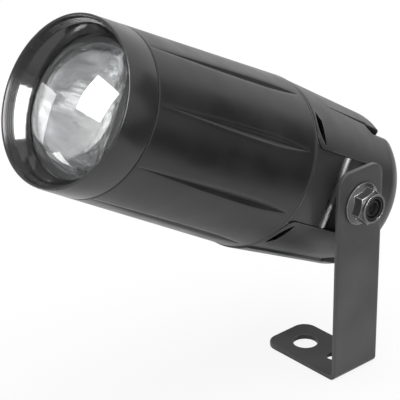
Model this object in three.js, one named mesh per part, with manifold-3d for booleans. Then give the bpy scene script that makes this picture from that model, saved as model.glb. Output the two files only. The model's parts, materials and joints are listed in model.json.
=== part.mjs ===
// A pinspot light: a small LED spot lamp in a fluted round barrel, hung on one L-shaped steel bracket.
// Millimetres. The foot lies on z = 0, the beam leaves towards -Y and the bracket's arm is on the +X side.
// The origin is on the foot's underside, straight below the lamp's axis.
// The lamp head is drawn level in its own group, about the pivot, and the group is then tilted up.

import * as THREE from "three";
import { mergeVertices } from "three/addons/utils/BufferGeometryUtils.js";
import Module from "manifold-3d";

const wasm = await Module();
wasm.setup();

// Clearances, cuts and facets
const fitGap = 0.3;
const overrun = 3;
const weldDistance = 0.0001;
const shellSteps = 50;
const ringSteps = 28;
const smallSteps = 12;
const cornerSteps = 4;

// Pose of the head on the bracket
const pivotHeight = 79.1;
const restTilt = THREE.MathUtils.degToRad(29.3);

// Main sleeve, a slightly tapered tube. Stations run forwards along the barrel from the pivot.
const sleeveRearAt = 30.5;
const sleeveFrontAt = 119.5;
const sleeveRearRadius = 36;
const sleeveFrontRadius = 33.45;
const sleeveWall = 2;
const sleeveEdge = 0.5;
const fluteAngles = [21, 62, 118, 159].map(THREE.MathUtils.degToRad);
const fluteDepth = 1.1;
const fluteHalfWidth = 2;
const fluteFrontGap = 0.8;
const fluteRearGap = 4.6;
// Half width of a flute along its length, from its front tip to its rear tip
const fluteShares = [
  [0, 0],
  [0.3, 0.45],
  [0.65, 0.9],
  [0.85, 1],
  [0.95, 0.75],
  [1, 0],
];

// Front bezel, its stepped throat and its spigot in the sleeve
const bezelLength = 15.1;
const bezelFrontRadius = 32.95;
const bezelLipWidth = 1;
const bezelLipEdge = 0.4;
const bezelThroatRadius = 27.3;
const bezelThroatDepth = 9.7;
const bezelShoulder = 1.2;
const bezelStepCount = 3;
const bezelStepHeight = 0.5;
const bezelSpigotLength = 10.5;
const bezelSpigotWall = 2.3;
const bezelSeam = 0.3;

// Condenser lens with its gasket and retaining ring
const lensFlangeThickness = 3;
const lensDomeClearance = 0.3;
const lensDomeHeight = 9.5;
const gasketThickness = 1.2;
const gasketWidth = 2.6;
const retainerThickness = 4.7;
const retainerWidth = 3.6;

// Rear cover: a tapered shell with a domed end, flats with rails at top and bottom, and a side notch
const coverSeam = 0.9;
const coverFrontRadius = 35.7;
const coverRearRadius = 33;
const coverDomeStart = 23.5;
const coverDomeRadius = 14;
const coverWall = 1.6;
const railHalfAngle = THREE.MathUtils.degToRad(26.6);
const railOverDome = 1.5;
const lowerRailOverDome = 7.5;
const lowerRailProud = 0.8;
const railEdgeRadius = 1.5;
const flatHeight = 27;
const flatStart = 11.8;
const lowerFlatStart = 17.5;
const flatFillet = 5.5;
const notchHalfWidth = 15.4;
const notchRear = 16.5;
const notchFlareRadius = 5;
const notchRearRadius = 7;
const crescentAngle = THREE.MathUtils.degToRad(40);
const crescentHalfLength = 7.1;
const crescentWidth = 2.5;
const crescentLip = 1.7;
const crescentDrop = 3.3;
const grooveStart = 17;
const grooveDepth = 1.3;
const grooveHalfWidth = 1.1;
const ventCount = 6;
const ventLength = 6;
const ventWidth = 2;
const ventCornerRadius = 0.95;
const ventCircleRadius = 13.8;

// Inner housing: a cup that carries everything, with a side pocket for the pivot
const housingWall = 2.3;
const spigotLength = 8;
const bulkheadThickness = 3;
const wireHoleRadius = 5;
const padAcross = 30.8;
const padRollAt = 11;
const padRollRadius = 5;
const pocketMargin = 1.2;
const cavityAcross = 23.5;
const bossRadius = 11;
const pivotPocketDepth = 1.5;

// Bracket, bent from one steel strip
const sheetThickness = 2;
const bracketWidth = 25;
const bracketCornerRadius = 6.2;
const armAbovePivot = 15.2;
const armClearance = 0.6;
const bendInnerRadius = 1;
const footLength = 42.6;
const clampHoleRadius = 5.35;
const clampHoleFromArm = 29.8;
const safetyHoleRadius = 2.75;
const safetyHoleFromArm = 13.1;

// Pivot fasteners
const boltRadius = 4;
const boltHeadAcrossFlats = 13;
const boltHeadHeight = 5.3;
const frictionWasherRadius = 10;
const frictionWasherThickness = 2.1;
const nutFlangeRadius = 8.95;
const nutFlangeEdge = 0.65;
const nutFlangeRise = 1.3;
const nutAcrossFlats = 13;
const nutHeight = 7.4;
const nutCollarHeight = 1.2;
const nutCollarRadius = 5.7;
const nutConeHeight = 0.7;
const insertHeight = 2;
const insertRadius = 4.9;
const boltEndRecess = 0.8;

// Light source
const sinkFinLength = 21;
const sinkBaseThickness = 4;
const sinkRadius = 30;
const sinkFinCount = 9;
const sinkFinThickness = 1.6;
const sinkBossRadius = 4;
const thermalPadRadius = 12;
const thermalPadThickness = 0.5;
const ledBoardRadius = 13.5;
const ledBoardThickness = 1.6;
const ledSide = 7;
const ledBaseHeight = 1;
const ledDomeRadius = 2.9;
const ledScrewCircle = 11;
const reflectorBaseRadius = 7.4;
const reflectorThroatRadius = 6;
const reflectorMouthRadius = 26;
const reflectorWall = 1.2;
const reflectorStepCount = 3;

// Driver electronics
const boardWidth = 40;
const boardLength = 48;
const boardThickness = 1.6;
const boardDrop = 12;
const boardFrontAt = 28;
const boardCentreAcross = -1;
const ribThickness = 6;
const ribInset = 5;
const transformerSize = [18, 15, 13];
const capacitorRadius = 5;
const capacitorHeight = 14;
const terminalSize = [16, 8, 10];
const partMargin = 4;

// Screws, each with a round pan head
const screwRadius = 1.5;
const screwHeadRadius = 2.75;
const screwHeadHeight = 1.9;
const screwSlotWidth = 0.8;
const screwSlotDepth = 0.9;
const smallScrewRadius = 1.2;
const smallScrewHeadRadius = 2.1;
const smallScrewHeadHeight = 1.5;
const coverScrewCircle = 29.8;
const coverScrewSpread = THREE.MathUtils.degToRad(8);
const coverScrewLength = 18;
const coverScrewBossRadius = 3.1;
const coverScrewBossLength = 8;
const sinkScrewCircle = 20;
const sinkScrewLength = 14;
const ledScrewLength = 5;
const boardScrewLength = 6;

// Cable gland
const glandThreadRadius = 5.9;
const glandAcrossFlats = 15;
const glandFlangeThickness = 4;
const glandInnerThread = 7.5;
const glandOuterThread = 4.2;
const glandBoreRadius = 4.4;
const glandNutThickness = 3.6;
const glandCapLength = 9;
const glandCapWall = 1.6;
const glandSealLength = 2.6;
const cableHoleRadius = 3.5;

// Sizes worked out from those above
const armInnerAt = sleeveRearRadius + armClearance;
const armOuterAt = armInnerAt + sheetThickness;
const bossFaceAt = armInnerAt - fitGap - frictionWasherThickness - fitGap;
const bezelRearAt = sleeveFrontAt + bezelSeam;
const bezelFrontAt = sleeveFrontAt + bezelLength;
const lensSeatAt = bezelFrontAt - bezelThroatDepth;
const bezelSpigotRadius = sleeveInnerRadius(sleeveFrontAt) - fitGap;
const lensPocketRadius = bezelSpigotRadius - bezelSpigotWall;
const lensFlangeRadius = lensPocketRadius - fitGap;
const lensFrontAt = lensSeatAt - fitGap;
const lensBackAt = lensFrontAt - lensFlangeThickness;
const gasketBackAt = lensBackAt - fitGap - gasketThickness;
const retainerFrontAt = gasketBackAt - fitGap;
const retainerBackAt = retainerFrontAt - retainerThickness;
const coverFrontAt = sleeveRearAt - coverSeam;
const coverDomeCentreRadius = coverRearRadius - coverDomeRadius;
const coverEndAt = -coverDomeStart - coverDomeRadius;
const railEndAt = -coverDomeStart - railOverDome;
const lowerRailEndAt = -coverDomeStart - lowerRailOverDome;
const housingFlatStart = flatStart - coverWall - fitGap;
const coverScrewSeatAt = railEndAt + smallScrewHeadHeight + fitGap;
const spigotFrontAt = sleeveRearAt + spigotLength;
const padFrontAt = sleeveRearAt - fitGap;
const floorAcross = padAcross - padRollRadius;
const sinkRearAt = spigotFrontAt + fitGap;
const sinkFrontAt = sinkRearAt + sinkFinLength + sinkBaseThickness;
const ledBoardAt = sinkFrontAt + fitGap + thermalPadThickness + fitGap;
const ledBoardFrontAt = ledBoardAt + ledBoardThickness;
const boardTop = -boardDrop + boardThickness;
const partsBase = boardTop + fitGap;
const glandFlangeFrontAt = coverEndAt - fitGap;
const glandFlangeRearAt = glandFlangeFrontAt - glandFlangeThickness;
const glandCapFrontAt = glandFlangeRearAt - fitGap;
const glandCapRearAt = glandCapFrontAt - glandCapLength;

// Radii that taper along the barrel

function between(from, to, share) {
  return from + (to - from) * share;
}

function sleeveRadius(at) {
  const share = (at - sleeveRearAt) / (sleeveFrontAt - sleeveRearAt);
  return between(sleeveRearRadius, sleeveFrontRadius, share);
}

function sleeveInnerRadius(at) {
  return sleeveRadius(at) - sleeveWall;
}

function coverRadius(at) {
  const share = (coverFrontAt - at) / (coverFrontAt + coverDomeStart);
  return between(coverFrontRadius, coverRearRadius, share);
}

// Directions in which a profile is turned or extruded. A shape that is extruded forwards is drawn
// in x and z, one that is extruded across is drawn in y and z, and one that is extruded upwards in x and y.
const toX = new THREE.Vector3(1, 0, 0);
const toY = new THREE.Vector3(0, 1, 0);
const toZ = new THREE.Vector3(0, 0, 1);
const toFront = new THREE.Vector3(0, -1, 0);
const toFloor = new THREE.Vector3(0, 0, -1);
const directions = {
  up: new THREE.Matrix4().makeBasis(toX, toY, toZ),
  down: new THREE.Matrix4().makeBasis(toY, toX, toFloor),
  across: new THREE.Matrix4().makeBasis(toY, toZ, toX),
  forward: new THREE.Matrix4().makeBasis(toX, toZ, toFront),
  rearward: new THREE.Matrix4().makeBasis(toZ, toX, toY),
};

// Turns a closed geometry into a solid for cutting and joining
function solid(geometry) {
  geometry.deleteAttribute("normal");
  geometry.deleteAttribute("uv");
  const merged = mergeVertices(geometry, weldDistance);
  const vertProperties = merged.attributes.position.array;
  const triVerts = new Uint32Array(merged.index.array);
  return new wasm.Manifold(new wasm.Mesh({ numProp: 3, vertProperties, triVerts }));
}

// Turns a profile of [radius, along] points, which starts and ends on the axis or is a closed ring
function turned(profile, direction, steps = shellSteps) {
  const points = profile.map(([radius, along]) => new THREE.Vector2(radius, along));
  if (THREE.ShapeUtils.area(points) < 0) {
    points.reverse();
  }
  if (points.every((point) => point.x > 0)) {
    points.push(points[0].clone());
  }
  const geometry = new THREE.LatheGeometry(points, steps);
  geometry.rotateX(Math.PI / 2);
  return geometry.applyMatrix4(directions[direction]);
}

function extruded(shape, direction, from, to, steps = cornerSteps) {
  const settings = { depth: to - from, bevelEnabled: false, curveSegments: steps };
  const geometry = new THREE.ExtrudeGeometry(shape, settings);
  geometry.translate(0, 0, from);
  return geometry.applyMatrix4(directions[direction]);
}

// A disc, or a ring if it has a hole
function disc(radius, from, to, direction, steps = ringSteps, hole = 0) {
  const profile = [
    [hole, from],
    [radius, from],
    [radius, to],
    [hole, to],
  ];
  return turned(profile, direction, steps);
}

function box(low, high) {
  const size = high.map((value, i) => value - low[i]);
  const geometry = new THREE.BoxGeometry(...size);
  return geometry.translate(...low.map((value, i) => value + size[i] / 2));
}

// A shape from corners [x, y, radius], each rounded by an arc of its radius
function roundedShape(corners) {
  const shape = new THREE.Shape();
  corners.forEach(([x, y, radius = 0], i) => {
    const corner = new THREE.Vector2(x, y);
    const previous = corners[(i + corners.length - 1) % corners.length];
    const next = corners[(i + 1) % corners.length];
    const back = new THREE.Vector2(previous[0], previous[1]).sub(corner).normalize();
    const ahead = new THREE.Vector2(next[0], next[1]).sub(corner).normalize();
    const halfAngle = Math.acos(back.dot(ahead)) / 2;
    const start = corner.clone().addScaledVector(back, radius / Math.tan(halfAngle));
    if (i === 0) {
      shape.moveTo(start.x, start.y);
    } else {
      shape.lineTo(start.x, start.y);
    }
    if (radius > 0) {
      const inwards = back.clone().add(ahead).normalize();
      const centre = corner.clone().addScaledVector(inwards, radius / Math.sin(halfAngle));
      const end = corner.clone().addScaledVector(ahead, radius / Math.tan(halfAngle));
      const startAngle = start.clone().sub(centre).angle();
      const endAngle = end.clone().sub(centre).angle();
      const clockwise = back.cross(ahead) > 0;
      shape.absarc(centre.x, centre.y, radius, startAngle, endAngle, clockwise);
    }
  });
  shape.closePath();
  return shape;
}

function hexagon(acrossFlats) {
  const radius = acrossFlats / Math.sqrt(3);
  const corners = [];
  for (let i = 0; i < 6; i += 1) {
    const angle = (i * Math.PI) / 3;
    corners.push([radius * Math.cos(angle), radius * Math.sin(angle)]);
  }
  return roundedShape(corners);
}

// Points on an arc of a turned profile, angles counted from the radial direction towards the front
function arcProfile(centreRadius, centreAlong, radius, fromAngle, toAngle, steps) {
  const points = [];
  for (let i = 0; i <= steps; i += 1) {
    const angle = between(fromAngle, toAngle, i / steps);
    points.push([centreRadius + radius * Math.cos(angle), centreAlong + radius * Math.sin(angle)]);
  }
  return points;
}

// Moves a piece drawn at angle zero (the +X side) round the barrel
function atAngle(geometry, angle) {
  return geometry.rotateY(-angle);
}

// Finishes
const satinBlack = { color: 0x2a2a2c, roughness: 0.42, metalness: 0 };
const housingGrey = { color: 0x38383a, roughness: 0.3, metalness: 0 };
const powderCoat = { color: 0x4a4a4c, roughness: 0.5, metalness: 0.2 };
const blackNylon = { color: 0x161617, roughness: 0.6, metalness: 0 };
const blackZinc = { color: 0x303032, roughness: 0.35, metalness: 0.8 };
const clearGlass = { color: 0xe8eef0, roughness: 0.03, metalness: 0, transparent: true, opacity: 0.4 };
const softRubber = { color: 0x1b1b1b, roughness: 0.8, metalness: 0 };
const bareAluminium = { color: 0xb4b6b8, roughness: 0.4, metalness: 0.9 };
const mirrorCoat = { color: 0xdadcde, roughness: 0.1, metalness: 1 };
const whiteMask = { color: 0xe6e6e0, roughness: 0.5, metalness: 0 };
const greenMask = { color: 0x1f5a34, roughness: 0.5, metalness: 0 };
const phosphor = { color: 0xf0e070, roughness: 0.4, metalness: 0 };
const padPink = { color: 0xc09aa0, roughness: 0.8, metalness: 0 };
const windingYellow = { color: 0xc8a840, roughness: 0.6, metalness: 0 };
const plainSteel = { color: 0x9a9c9e, roughness: 0.35, metalness: 0.9 };

const light = new THREE.Group();
const head = new THREE.Group();
head.position.z = pivotHeight;
head.rotation.x = -restTilt;
light.add(head);

// Adds a finished solid or geometry to a group as a named mesh
function add(group, name, shape, finish) {
  let geometry = shape;
  if (shape instanceof wasm.Manifold) {
    const { vertProperties, triVerts } = shape.getMesh();
    geometry = new THREE.BufferGeometry();
    geometry.setAttribute("position", new THREE.BufferAttribute(vertProperties, 3));
    geometry.setIndex(new THREE.BufferAttribute(triVerts, 1));
    geometry.computeVertexNormals();
  }
  const mesh = new THREE.Mesh(geometry, new THREE.MeshStandardMaterial(finish));
  mesh.name = name;
  group.add(mesh);
  return mesh;
}

// Bracket

function makeBracket() {
  const halfWidth = bracketWidth / 2;
  const footEnd = armOuterAt - footLength;
  const armTop = pivotHeight + armAbovePivot;
  const bendOuterRadius = bendInnerRadius + sheetThickness;
  const strip = roundedShape([
    [footEnd, 0],
    [armOuterAt, 0, bendOuterRadius],
    [armOuterAt, armTop],
    [armInnerAt, armTop],
    [armInnerAt, sheetThickness, bendInnerRadius],
    [footEnd, sheetThickness],
  ]);
  const armOutline = roundedShape([
    [-halfWidth, -overrun],
    [halfWidth, -overrun],
    [halfWidth, armTop, bracketCornerRadius],
    [-halfWidth, armTop, bracketCornerRadius],
  ]);
  const footOutline = roundedShape([
    [footEnd, -halfWidth, bracketCornerRadius],
    [armOuterAt + overrun, -halfWidth],
    [armOuterAt + overrun, halfWidth],
    [footEnd, halfWidth, bracketCornerRadius],
  ]);
  const plate = extruded(strip, "forward", -halfWidth - overrun, halfWidth + overrun);
  const armPrism = extruded(armOutline, "across", footEnd - overrun, armOuterAt + overrun, ringSteps / 4);
  const footPrism = extruded(footOutline, "up", -overrun, armTop + overrun, ringSteps / 4);
  const clampHole = disc(clampHoleRadius, -overrun, sheetThickness + overrun, "up");
  clampHole.translate(armOuterAt - clampHoleFromArm, 0, 0);
  const safetyHole = disc(safetyHoleRadius, -overrun, sheetThickness + overrun, "up", smallSteps);
  safetyHole.translate(armOuterAt - safetyHoleFromArm, 0, 0);
  const pivotHole = disc(boltRadius + fitGap, armInnerAt - overrun, armOuterAt + overrun, "across");
  pivotHole.translate(0, 0, pivotHeight);
  return solid(plate)
    .intersect(solid(armPrism))
    .intersect(solid(footPrism))
    .subtract(solid(clampHole))
    .subtract(solid(safetyHole))
    .subtract(solid(pivotHole));
}

// Main sleeve with its eight tapering flutes

// A diamond-sided spindle along the barrel at angle zero, as wide as the flute and twice as deep
function fluteCutter() {
  const frontAt = sleeveFrontAt - fluteFrontGap;
  const rearAt = sleeveRearAt + fluteRearGap;
  const profile = fluteShares.map(([alongShare, widthShare]) => [
    fluteHalfWidth * widthShare,
    between(frontAt, rearAt, alongShare),
  ]);
  const cutter = turned(profile, "forward", 4);
  cutter.scale(fluteDepth / fluteHalfWidth, 1, 1);
  const middle = (frontAt + rearAt) / 2;
  const slope = Math.atan2(sleeveRearRadius - sleeveFrontRadius, sleeveFrontAt - sleeveRearAt);
  cutter.translate(0, middle, 0);
  cutter.rotateZ(slope);
  return cutter.translate(sleeveRadius(middle), -middle, 0);
}

function makeSleeve() {
  const tube = turned(
    [
      [sleeveInnerRadius(sleeveRearAt), sleeveRearAt],
      [sleeveRearRadius - sleeveEdge, sleeveRearAt],
      [sleeveRadius(sleeveRearAt + sleeveEdge), sleeveRearAt + sleeveEdge],
      [sleeveRadius(sleeveFrontAt - sleeveEdge), sleeveFrontAt - sleeveEdge],
      [sleeveFrontRadius - sleeveEdge, sleeveFrontAt],
      [sleeveInnerRadius(sleeveFrontAt), sleeveFrontAt],
    ],
    "forward",
  );
  let sleeve = solid(tube);
  for (const angle of fluteAngles) {
    sleeve = sleeve.subtract(solid(atAngle(fluteCutter(), angle)));
    sleeve = sleeve.subtract(solid(atAngle(fluteCutter(), -angle)));
  }
  return sleeve;
}

// Front bezel, lens, gasket and retaining ring

function makeBezel() {
  const spigotRearAt = sleeveFrontAt - bezelSpigotLength;
  const lipInnerRadius = bezelFrontRadius - bezelLipWidth;
  const throat = [];
  for (let i = 0; i < bezelStepCount; i += 1) {
    const from = i / bezelStepCount;
    const to = (i + 1) / bezelStepCount;
    const outerRadius = between(lipInnerRadius - bezelLipEdge, bezelThroatRadius, from);
    const innerRadius = between(lipInnerRadius - bezelLipEdge, bezelThroatRadius, to);
    const frontAt = between(bezelFrontAt - bezelLipEdge, lensSeatAt + bezelShoulder, from);
    const backAt = between(bezelFrontAt - bezelLipEdge, lensSeatAt + bezelShoulder, to);
    throat.push([outerRadius, frontAt]);
    throat.push([innerRadius + bezelStepHeight, backAt]);
  }
  return turned(
    [
      [lensPocketRadius, spigotRearAt],
      [bezelSpigotRadius, spigotRearAt],
      [bezelSpigotRadius, bezelRearAt],
      [sleeveFrontRadius - bezelLipEdge, bezelRearAt],
      [sleeveFrontRadius, bezelRearAt + bezelLipEdge],
      [bezelFrontRadius, bezelFrontAt - bezelLipEdge],
      [bezelFrontRadius - bezelLipEdge, bezelFrontAt],
      [lipInnerRadius, bezelFrontAt],
      ...throat,
      [bezelThroatRadius, lensSeatAt + bezelShoulder],
      [bezelThroatRadius, lensSeatAt],
      [lensPocketRadius, lensSeatAt],
    ],
    "forward",
  );
}

function makeLens() {
  const domeRadius = bezelThroatRadius - lensDomeClearance;
  const sphereRadius = (domeRadius ** 2 + lensDomeHeight ** 2) / (2 * lensDomeHeight);
  const sphereAt = lensFrontAt + lensDomeHeight - sphereRadius;
  const rimAngle = Math.acos(domeRadius / sphereRadius);
  const dome = arcProfile(0, sphereAt, sphereRadius, rimAngle, Math.PI / 2, smallSteps / 2);
  dome[dome.length - 1][0] = 0;
  return turned(
    [[0, lensBackAt], [lensFlangeRadius, lensBackAt], [lensFlangeRadius, lensFrontAt], ...dome],
    "forward",
    ringSteps,
  );
}

function makeGasket() {
  const to = gasketBackAt + gasketThickness;
  return disc(lensFlangeRadius, gasketBackAt, to, "forward", ringSteps, lensFlangeRadius - gasketWidth);
}

function makeRetainer() {
  const innerRadius = lensFlangeRadius - retainerWidth;
  return disc(lensFlangeRadius, retainerBackAt, retainerFrontAt, "forward", ringSteps, innerRadius);
}

// Rear cover

function domeProfile(wall) {
  const radius = coverDomeRadius - wall;
  return arcProfile(coverDomeCentreRadius, -coverDomeStart, radius, -Math.PI / 2, 0, cornerSteps + 2);
}

// Cuts away everything beyond a flat above or below the axis, from a fillet rearwards
function flatCutter(side, height, start, fillet) {
  const rear = coverFrontAt * 2;
  const reach = coverFrontRadius * 2;
  const outline = roundedShape([
    [start, side * reach],
    [start, side * height, fillet],
    [rear, side * height],
    [rear, side * reach],
  ]);
  return solid(extruded(outline, "across", -reach, reach, smallSteps / 2));
}

// The sector of a cone that stands on the flat. The one below the axis is longer and prouder.
function railSolid(side) {
  const endAt = side > 0 ? railEndAt : lowerRailEndAt;
  const proud = side > 0 ? 0 : lowerRailProud;
  const frontAt = side > 0 ? 0 : coverFrontAt;
  const endRadius = coverRadius(endAt) + proud - railEdgeRadius;
  const edge = arcProfile(endRadius, endAt + railEdgeRadius, railEdgeRadius, -Math.PI / 2, 0, cornerSteps);
  const cone = turned([[0, endAt], ...edge, [coverRadius(frontAt) + proud, frontAt], [0, frontAt]], "forward");
  const reach = coverFrontRadius * 2;
  const sector = roundedShape([
    [0, 0],
    [reach * Math.sin(railHalfAngle), side * reach * Math.cos(railHalfAngle)],
    [-reach * Math.sin(railHalfAngle), side * reach * Math.cos(railHalfAngle)],
  ]);
  const wedge = extruded(sector, "forward", endAt - overrun, frontAt + overrun);
  return solid(cone).intersect(solid(wedge));
}

// The notch's outline, drawn in y and z and made smaller all round by a clearance
function notchOutline(front, clearance) {
  const half = notchHalfWidth - clearance;
  const rear = notchRear - clearance;
  const rearRadius = notchRearRadius - clearance;
  const rim = -coverFrontAt - clearance;
  const flare = notchFlareRadius + clearance;
  const wide = half + flare + fitGap;
  return roundedShape([
    [front, -wide],
    [rim, -wide],
    [rim, -half, flare],
    [rear, -half, rearRadius],
    [rear, half, rearRadius],
    [rim, half, flare],
    [rim, wide],
    [front, wide],
  ]);
}

function notchCutter() {
  const outline = notchOutline(-coverFrontAt - overrun, 0);
  return extruded(outline, "across", floorAcross - overrun, coverFrontRadius + overrun, smallSteps / 2);
}

// A crescent slot behind the cover's lip, drawn at angle zero with z along its length
function crescentCutter(side) {
  const lipAt = -(coverFrontAt - crescentLip);
  const outerTip = [lipAt, crescentHalfLength * side];
  const innerTip = [lipAt + crescentDrop, -crescentHalfLength * side];
  const shape = new THREE.Shape();
  shape.moveTo(...outerTip);
  shape.quadraticCurveTo(lipAt - crescentLip, -crescentHalfLength * side / 2, ...innerTip);
  shape.quadraticCurveTo(lipAt + crescentDrop, 0, lipAt + crescentWidth, crescentHalfLength * side / 2);
  shape.closePath();
  const innerRadius = coverRadius(0) - coverWall;
  const cutter = extruded(shape, "across", innerRadius - overrun, coverFrontRadius + overrun);
  return atAngle(cutter, crescentAngle * side);
}

// A groove that deepens rearwards along the edge of a rail, as far as the flat that it leads to
function grooveCutter(flatAt) {
  const length = grooveStart + flatAt + flatFillet / 2;
  const profile = [
    [0, grooveStart],
    [grooveHalfWidth, grooveStart - length],
    [0, grooveStart - length],
  ];
  const cutter = turned(profile, "forward", 4);
  cutter.scale(grooveDepth / grooveHalfWidth, 1, 1);
  const slope = Math.atan2(coverFrontRadius - coverRearRadius, coverFrontAt + coverDomeStart);
  cutter.translate(0, grooveStart, 0);
  cutter.rotateZ(-slope);
  return cutter.translate(coverRadius(grooveStart), -grooveStart, 0);
}

function ventCutter(index) {
  const halfLength = ventLength / 2;
  const halfWidth = ventWidth / 2;
  const shape = roundedShape([
    [-halfWidth, -halfLength, ventCornerRadius],
    [halfWidth, -halfLength, ventCornerRadius],
    [halfWidth, halfLength, ventCornerRadius],
    [-halfWidth, halfLength, ventCornerRadius],
  ]);
  const to = coverEndAt + coverWall + overrun;
  const cutter = extruded(shape, "forward", coverEndAt - overrun, to, cornerSteps / 2);
  cutter.translate(0, 0, ventCircleRadius);
  return atAngle(cutter, ((index + 0.5) * 2 * Math.PI) / ventCount);
}

function coverScrewPlaces() {
  const places = [];
  for (const middle of [Math.PI / 2, -Math.PI / 2]) {
    for (const turn of [-coverScrewSpread, coverScrewSpread]) {
      const angle = middle + turn;
      places.push([coverScrewCircle * Math.cos(angle), coverScrewCircle * Math.sin(angle)]);
    }
  }
  return places;
}

function makeRearCover() {
  const outer = turned(
    [[0, coverEndAt], ...domeProfile(0), [coverFrontRadius, coverFrontAt], [0, coverFrontAt]],
    "forward",
  );
  const inner = turned(
    [
      [0, coverEndAt + coverWall],
      ...domeProfile(coverWall),
      [coverFrontRadius - coverWall, coverFrontAt],
      [coverFrontRadius - coverWall, coverFrontAt + overrun],
      [0, coverFrontAt + overrun],
    ],
    "forward",
  );
  let cover = solid(outer);
  let hollow = solid(inner);
  for (const side of [1, -1]) {
    const flatAt = side > 0 ? flatStart : lowerFlatStart;
    cover = cover.subtract(flatCutter(side, flatHeight, flatAt, flatFillet)).add(railSolid(side));
    hollow = hollow.subtract(flatCutter(side, flatHeight - coverWall, flatStart - coverWall, 0));
  }
  cover = cover.subtract(hollow).subtract(solid(notchCutter()));
  for (const side of [1, -1]) {
    const flatAt = side > 0 ? flatStart : lowerFlatStart;
    cover = cover.subtract(solid(crescentCutter(side)));
    for (const turn of [railHalfAngle, -railHalfAngle]) {
      cover = cover.subtract(solid(atAngle(grooveCutter(flatAt), side * Math.PI / 2 + turn)));
    }
  }
  for (let i = 0; i < ventCount; i += 1) {
    cover = cover.subtract(solid(ventCutter(i)));
  }
  const glandHoleTo = coverEndAt + coverWall + overrun;
  const glandHole = disc(glandThreadRadius + fitGap, coverEndAt - overrun, glandHoleTo, "forward");
  cover = cover.subtract(solid(glandHole));
  for (const [x, z] of coverScrewPlaces()) {
    const recessFrom = (z > 0 ? railEndAt : lowerRailEndAt) - overrun;
    const recessTo = railEndAt + smallScrewHeadHeight + 2 * fitGap;
    const recess = disc(smallScrewHeadRadius + fitGap, recessFrom, recessTo, "forward", smallSteps);
    const shaft = disc(smallScrewRadius + fitGap, recessFrom, 0, "forward", smallSteps);
    cover = cover.subtract(solid(recess.translate(x, 0, z)));
    cover = cover.subtract(solid(shaft.translate(x, 0, z)));
  }
  return cover;
}

// Inner housing

function housingRadius(at) {
  return coverRadius(at) - coverWall - fitGap;
}

function housingBody() {
  const spigotRadius = (at) => sleeveInnerRadius(at) - fitGap;
  return turned(
    [
      [0, -coverDomeStart],
      [housingRadius(-coverDomeStart), -coverDomeStart],
      [housingRadius(padFrontAt), padFrontAt],
      [spigotRadius(sleeveRearAt), sleeveRearAt],
      [spigotRadius(spigotFrontAt), spigotFrontAt],
      [0, spigotFrontAt],
    ],
    "forward",
  );
}

function housingCavity() {
  const frontAt = spigotFrontAt - bulkheadThickness;
  const rearAt = -coverDomeStart - overrun;
  const round = turned(
    [
      [0, rearAt],
      [housingRadius(-coverDomeStart) - housingWall, rearAt],
      [sleeveInnerRadius(frontAt) - fitGap - housingWall, frontAt],
      [0, frontAt],
    ],
    "forward",
  );
  const reach = sleeveRearRadius;
  const limit = box([-reach, -frontAt - overrun, -reach], [cavityAcross, -rearAt + overrun, reach]);
  return solid(round).intersect(solid(limit));
}

// The raised pad that fills the cover's notch, no prouder than the cover
function padBlock() {
  const outline = notchOutline(-padFrontAt, fitGap);
  const block = extruded(outline, "across", cavityAcross, padAcross, smallSteps / 2);
  const limit = turned(
    [
      [0, -coverDomeStart],
      [coverRadius(-coverDomeStart) - fitGap, -coverDomeStart],
      [coverRadius(padFrontAt) - fitGap, padFrontAt],
      [0, padFrontAt],
    ],
    "forward",
  );
  return solid(block).intersect(solid(limit));
}

// The side pocket, whose front edge is the pad's roll-off towards a floor round the pivot boss
function pocketCutter() {
  const half = notchHalfWidth + pocketMargin;
  const rear = notchRear + pocketMargin;
  const outside = sleeveRearRadius + overrun;
  const shape = new THREE.Shape();
  shape.moveTo(padAcross, -padFrontAt);
  shape.lineTo(outside, -padFrontAt);
  shape.lineTo(outside, rear);
  shape.lineTo(floorAcross, rear);
  shape.lineTo(floorAcross, padRollRadius - padRollAt);
  shape.absarc(floorAcross, -padRollAt, padRollRadius, Math.PI / 2, 0, true);
  shape.closePath();
  return extruded(shape, "up", -half, half, smallSteps / 2);
}

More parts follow.
